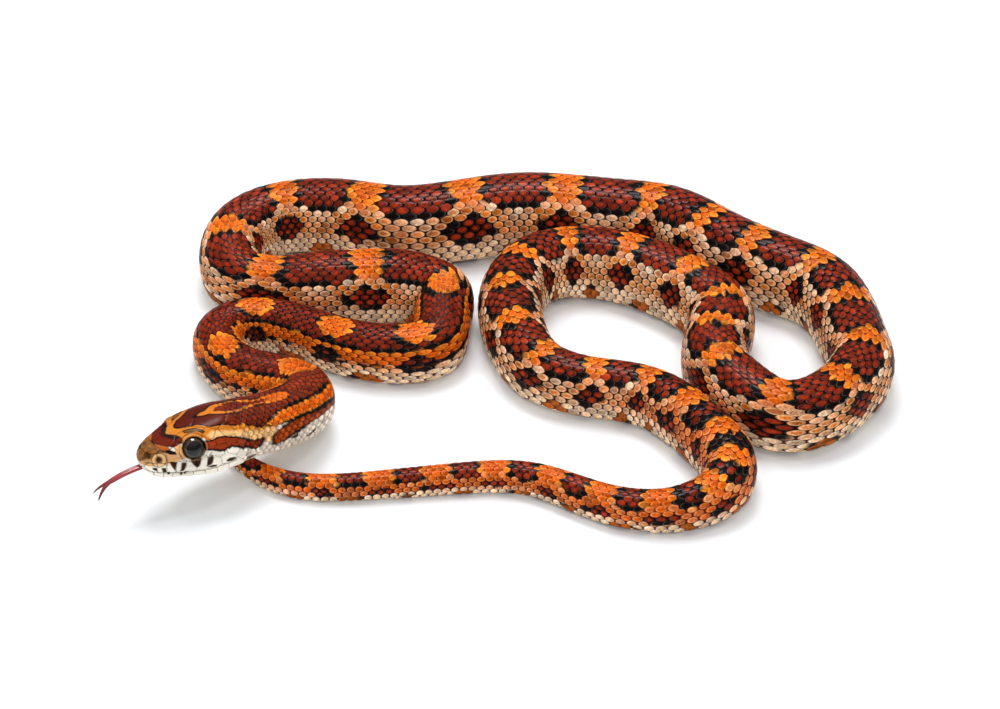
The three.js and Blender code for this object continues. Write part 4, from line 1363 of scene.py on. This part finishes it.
class SNAKE_OT_stage(bpy.types.Operator):
    """Set the floor, the lights and the camera"""

    bl_idname = "snake.stage"
    bl_label = "Stage"

    def room(self, low, top):
        """A pale room, brighter overhead than at the sides."""
        world = bpy.data.worlds.new("room")
        world.use_nodes = True
        tree = world.node_tree
        up = add_node(tree, "TexCoord", "Generated").parts()[2].step(0.3, 0.95)
        light = tree.nodes["Background"]
        connect(light.inputs[0], (1, 1, 1, 1))
        connect(light.inputs[1], up * (top - low) + low)
        return world

    def put(self, name, data, where, target):
        """An object at a place, looking at the target."""
        obj = bpy.data.objects.new(name, data)
        obj.location = where
        obj.rotation_euler = (target - obj.location).to_track_quat("-Z", "Y").to_euler()
        bpy.context.scene.collection.objects.link(obj)
        return obj

    def execute(self, context):
        """A wide floor at z = 0, soft square lights, and the camera at its angle and distance."""
        k, scene, size = settings().stage, context.scene, 30.0
        mesh = bpy.data.meshes.new("floor")
        corners = [(-size, -size, 0), (size, -size, 0), (size, size, 0), (-size, size, 0)]
        mesh.from_pydata(corners, [], [(0, 1, 2, 3)])
        floor = bpy.data.objects.new("floor", mesh)
        scene.collection.objects.link(floor)
        m = Shader("floor", roughness=0.9)
        m.feed("Base Color", m.mix(m.noise(3.0), (0.87, 0.9, 0.93, 1), (0.89, 0.92, 0.95, 1)))
        mesh.materials.append(m.material)
        scene.world = self.room(k.sky, k.top)
        target = Vector((-MIDDLE[0] * MM, -MIDDLE[1] * MM, 0))
        for name, where, width, watts in (
            ("key", (-0.08, 0.5, 1.2), 0.55, k.key),
            ("catch", (-0.08, 0.52, 1.24), 0.5, k.catch),
            ("left", (-0.55, 0.05, 0.9), 0.16, k.fill),
            ("right", (0.35, 0.05, 1.0), 0.14, k.fill),
            ("front", (0.0, -1.3, 0.8), 0.9, k.front),
        ):
            light = bpy.data.lights.new(name, "AREA")
            light.energy, light.size = watts, width
            lamp = self.put(name, light, where, target)
            lamp.visible_glossy = name in ("key", "catch")
            lamp.visible_diffuse = name != "catch"
        camera = bpy.data.cameras.new("camera")
        camera.lens, camera.sensor_width, camera.clip_start = k.lens, 36, 0.01
        back = Vector((0, -np.cos(k.elevation), np.sin(k.elevation))) * k.distance
        scene.camera = self.put("camera", camera, target + back, target)
        scene.view_settings.view_transform = "Standard"
        return {"FINISHED"}


class SNAKE_PT_panel(bpy.types.Panel):
    """The sidebar of the animal"""

    bl_label = "Corn snake"
    bl_space_type = "VIEW_3D"
    bl_region_type = "UI"
    bl_category = "Corn snake"

    def draw(self, context):
        """A button for each operator and a box for each group of settings."""
        for operator in OPERATORS:
            self.layout.operator(operator.bl_idname)
        for group in SnakeSettings.__annotations__:
            box = self.layout.box()
            data = getattr(context.scene.corn_snake, group)
            box.label(text=group.title())
            for key in data.__annotations__:
                box.prop(data, key)


OPERATORS = (
    SNAKE_OT_stage, SNAKE_OT_skin, SNAKE_OT_scales, SNAKE_OT_belly, SNAKE_OT_head,
    SNAKE_OT_eyes, SNAKE_OT_tongue,
)
CLASSES = (
    FormSettings, ScaleSettings, MarkSettings, HeadSettings, StageSettings, SnakeSettings,
    *OPERATORS, SNAKE_PT_panel,
)
BODY = {}


def register():
    """Registers the classes and hangs the settings on the scene."""
    for cls in CLASSES:
        bpy.utils.register_class(cls)
    bpy.types.Scene.corn_snake = PointerProperty(type=SnakeSettings)


def unregister():
    """Takes the settings and the classes away again."""
    del bpy.types.Scene.corn_snake
    for cls in reversed(CLASSES):
        bpy.utils.unregister_class(cls)


def main():
    """Builds the animal and its stage."""
    register()
    BODY["body"] = Body(settings().form)
    BODY["marks"] = Marks(BODY["body"], settings().marks)
    bpy.ops.snake.stage()
    bpy.ops.snake.skin()
    bpy.ops.snake.scales()
    bpy.ops.snake.belly()
    bpy.ops.snake.head()
    bpy.ops.snake.eyes()
    bpy.ops.snake.tongue()


if __name__ == "__main__":
    main()
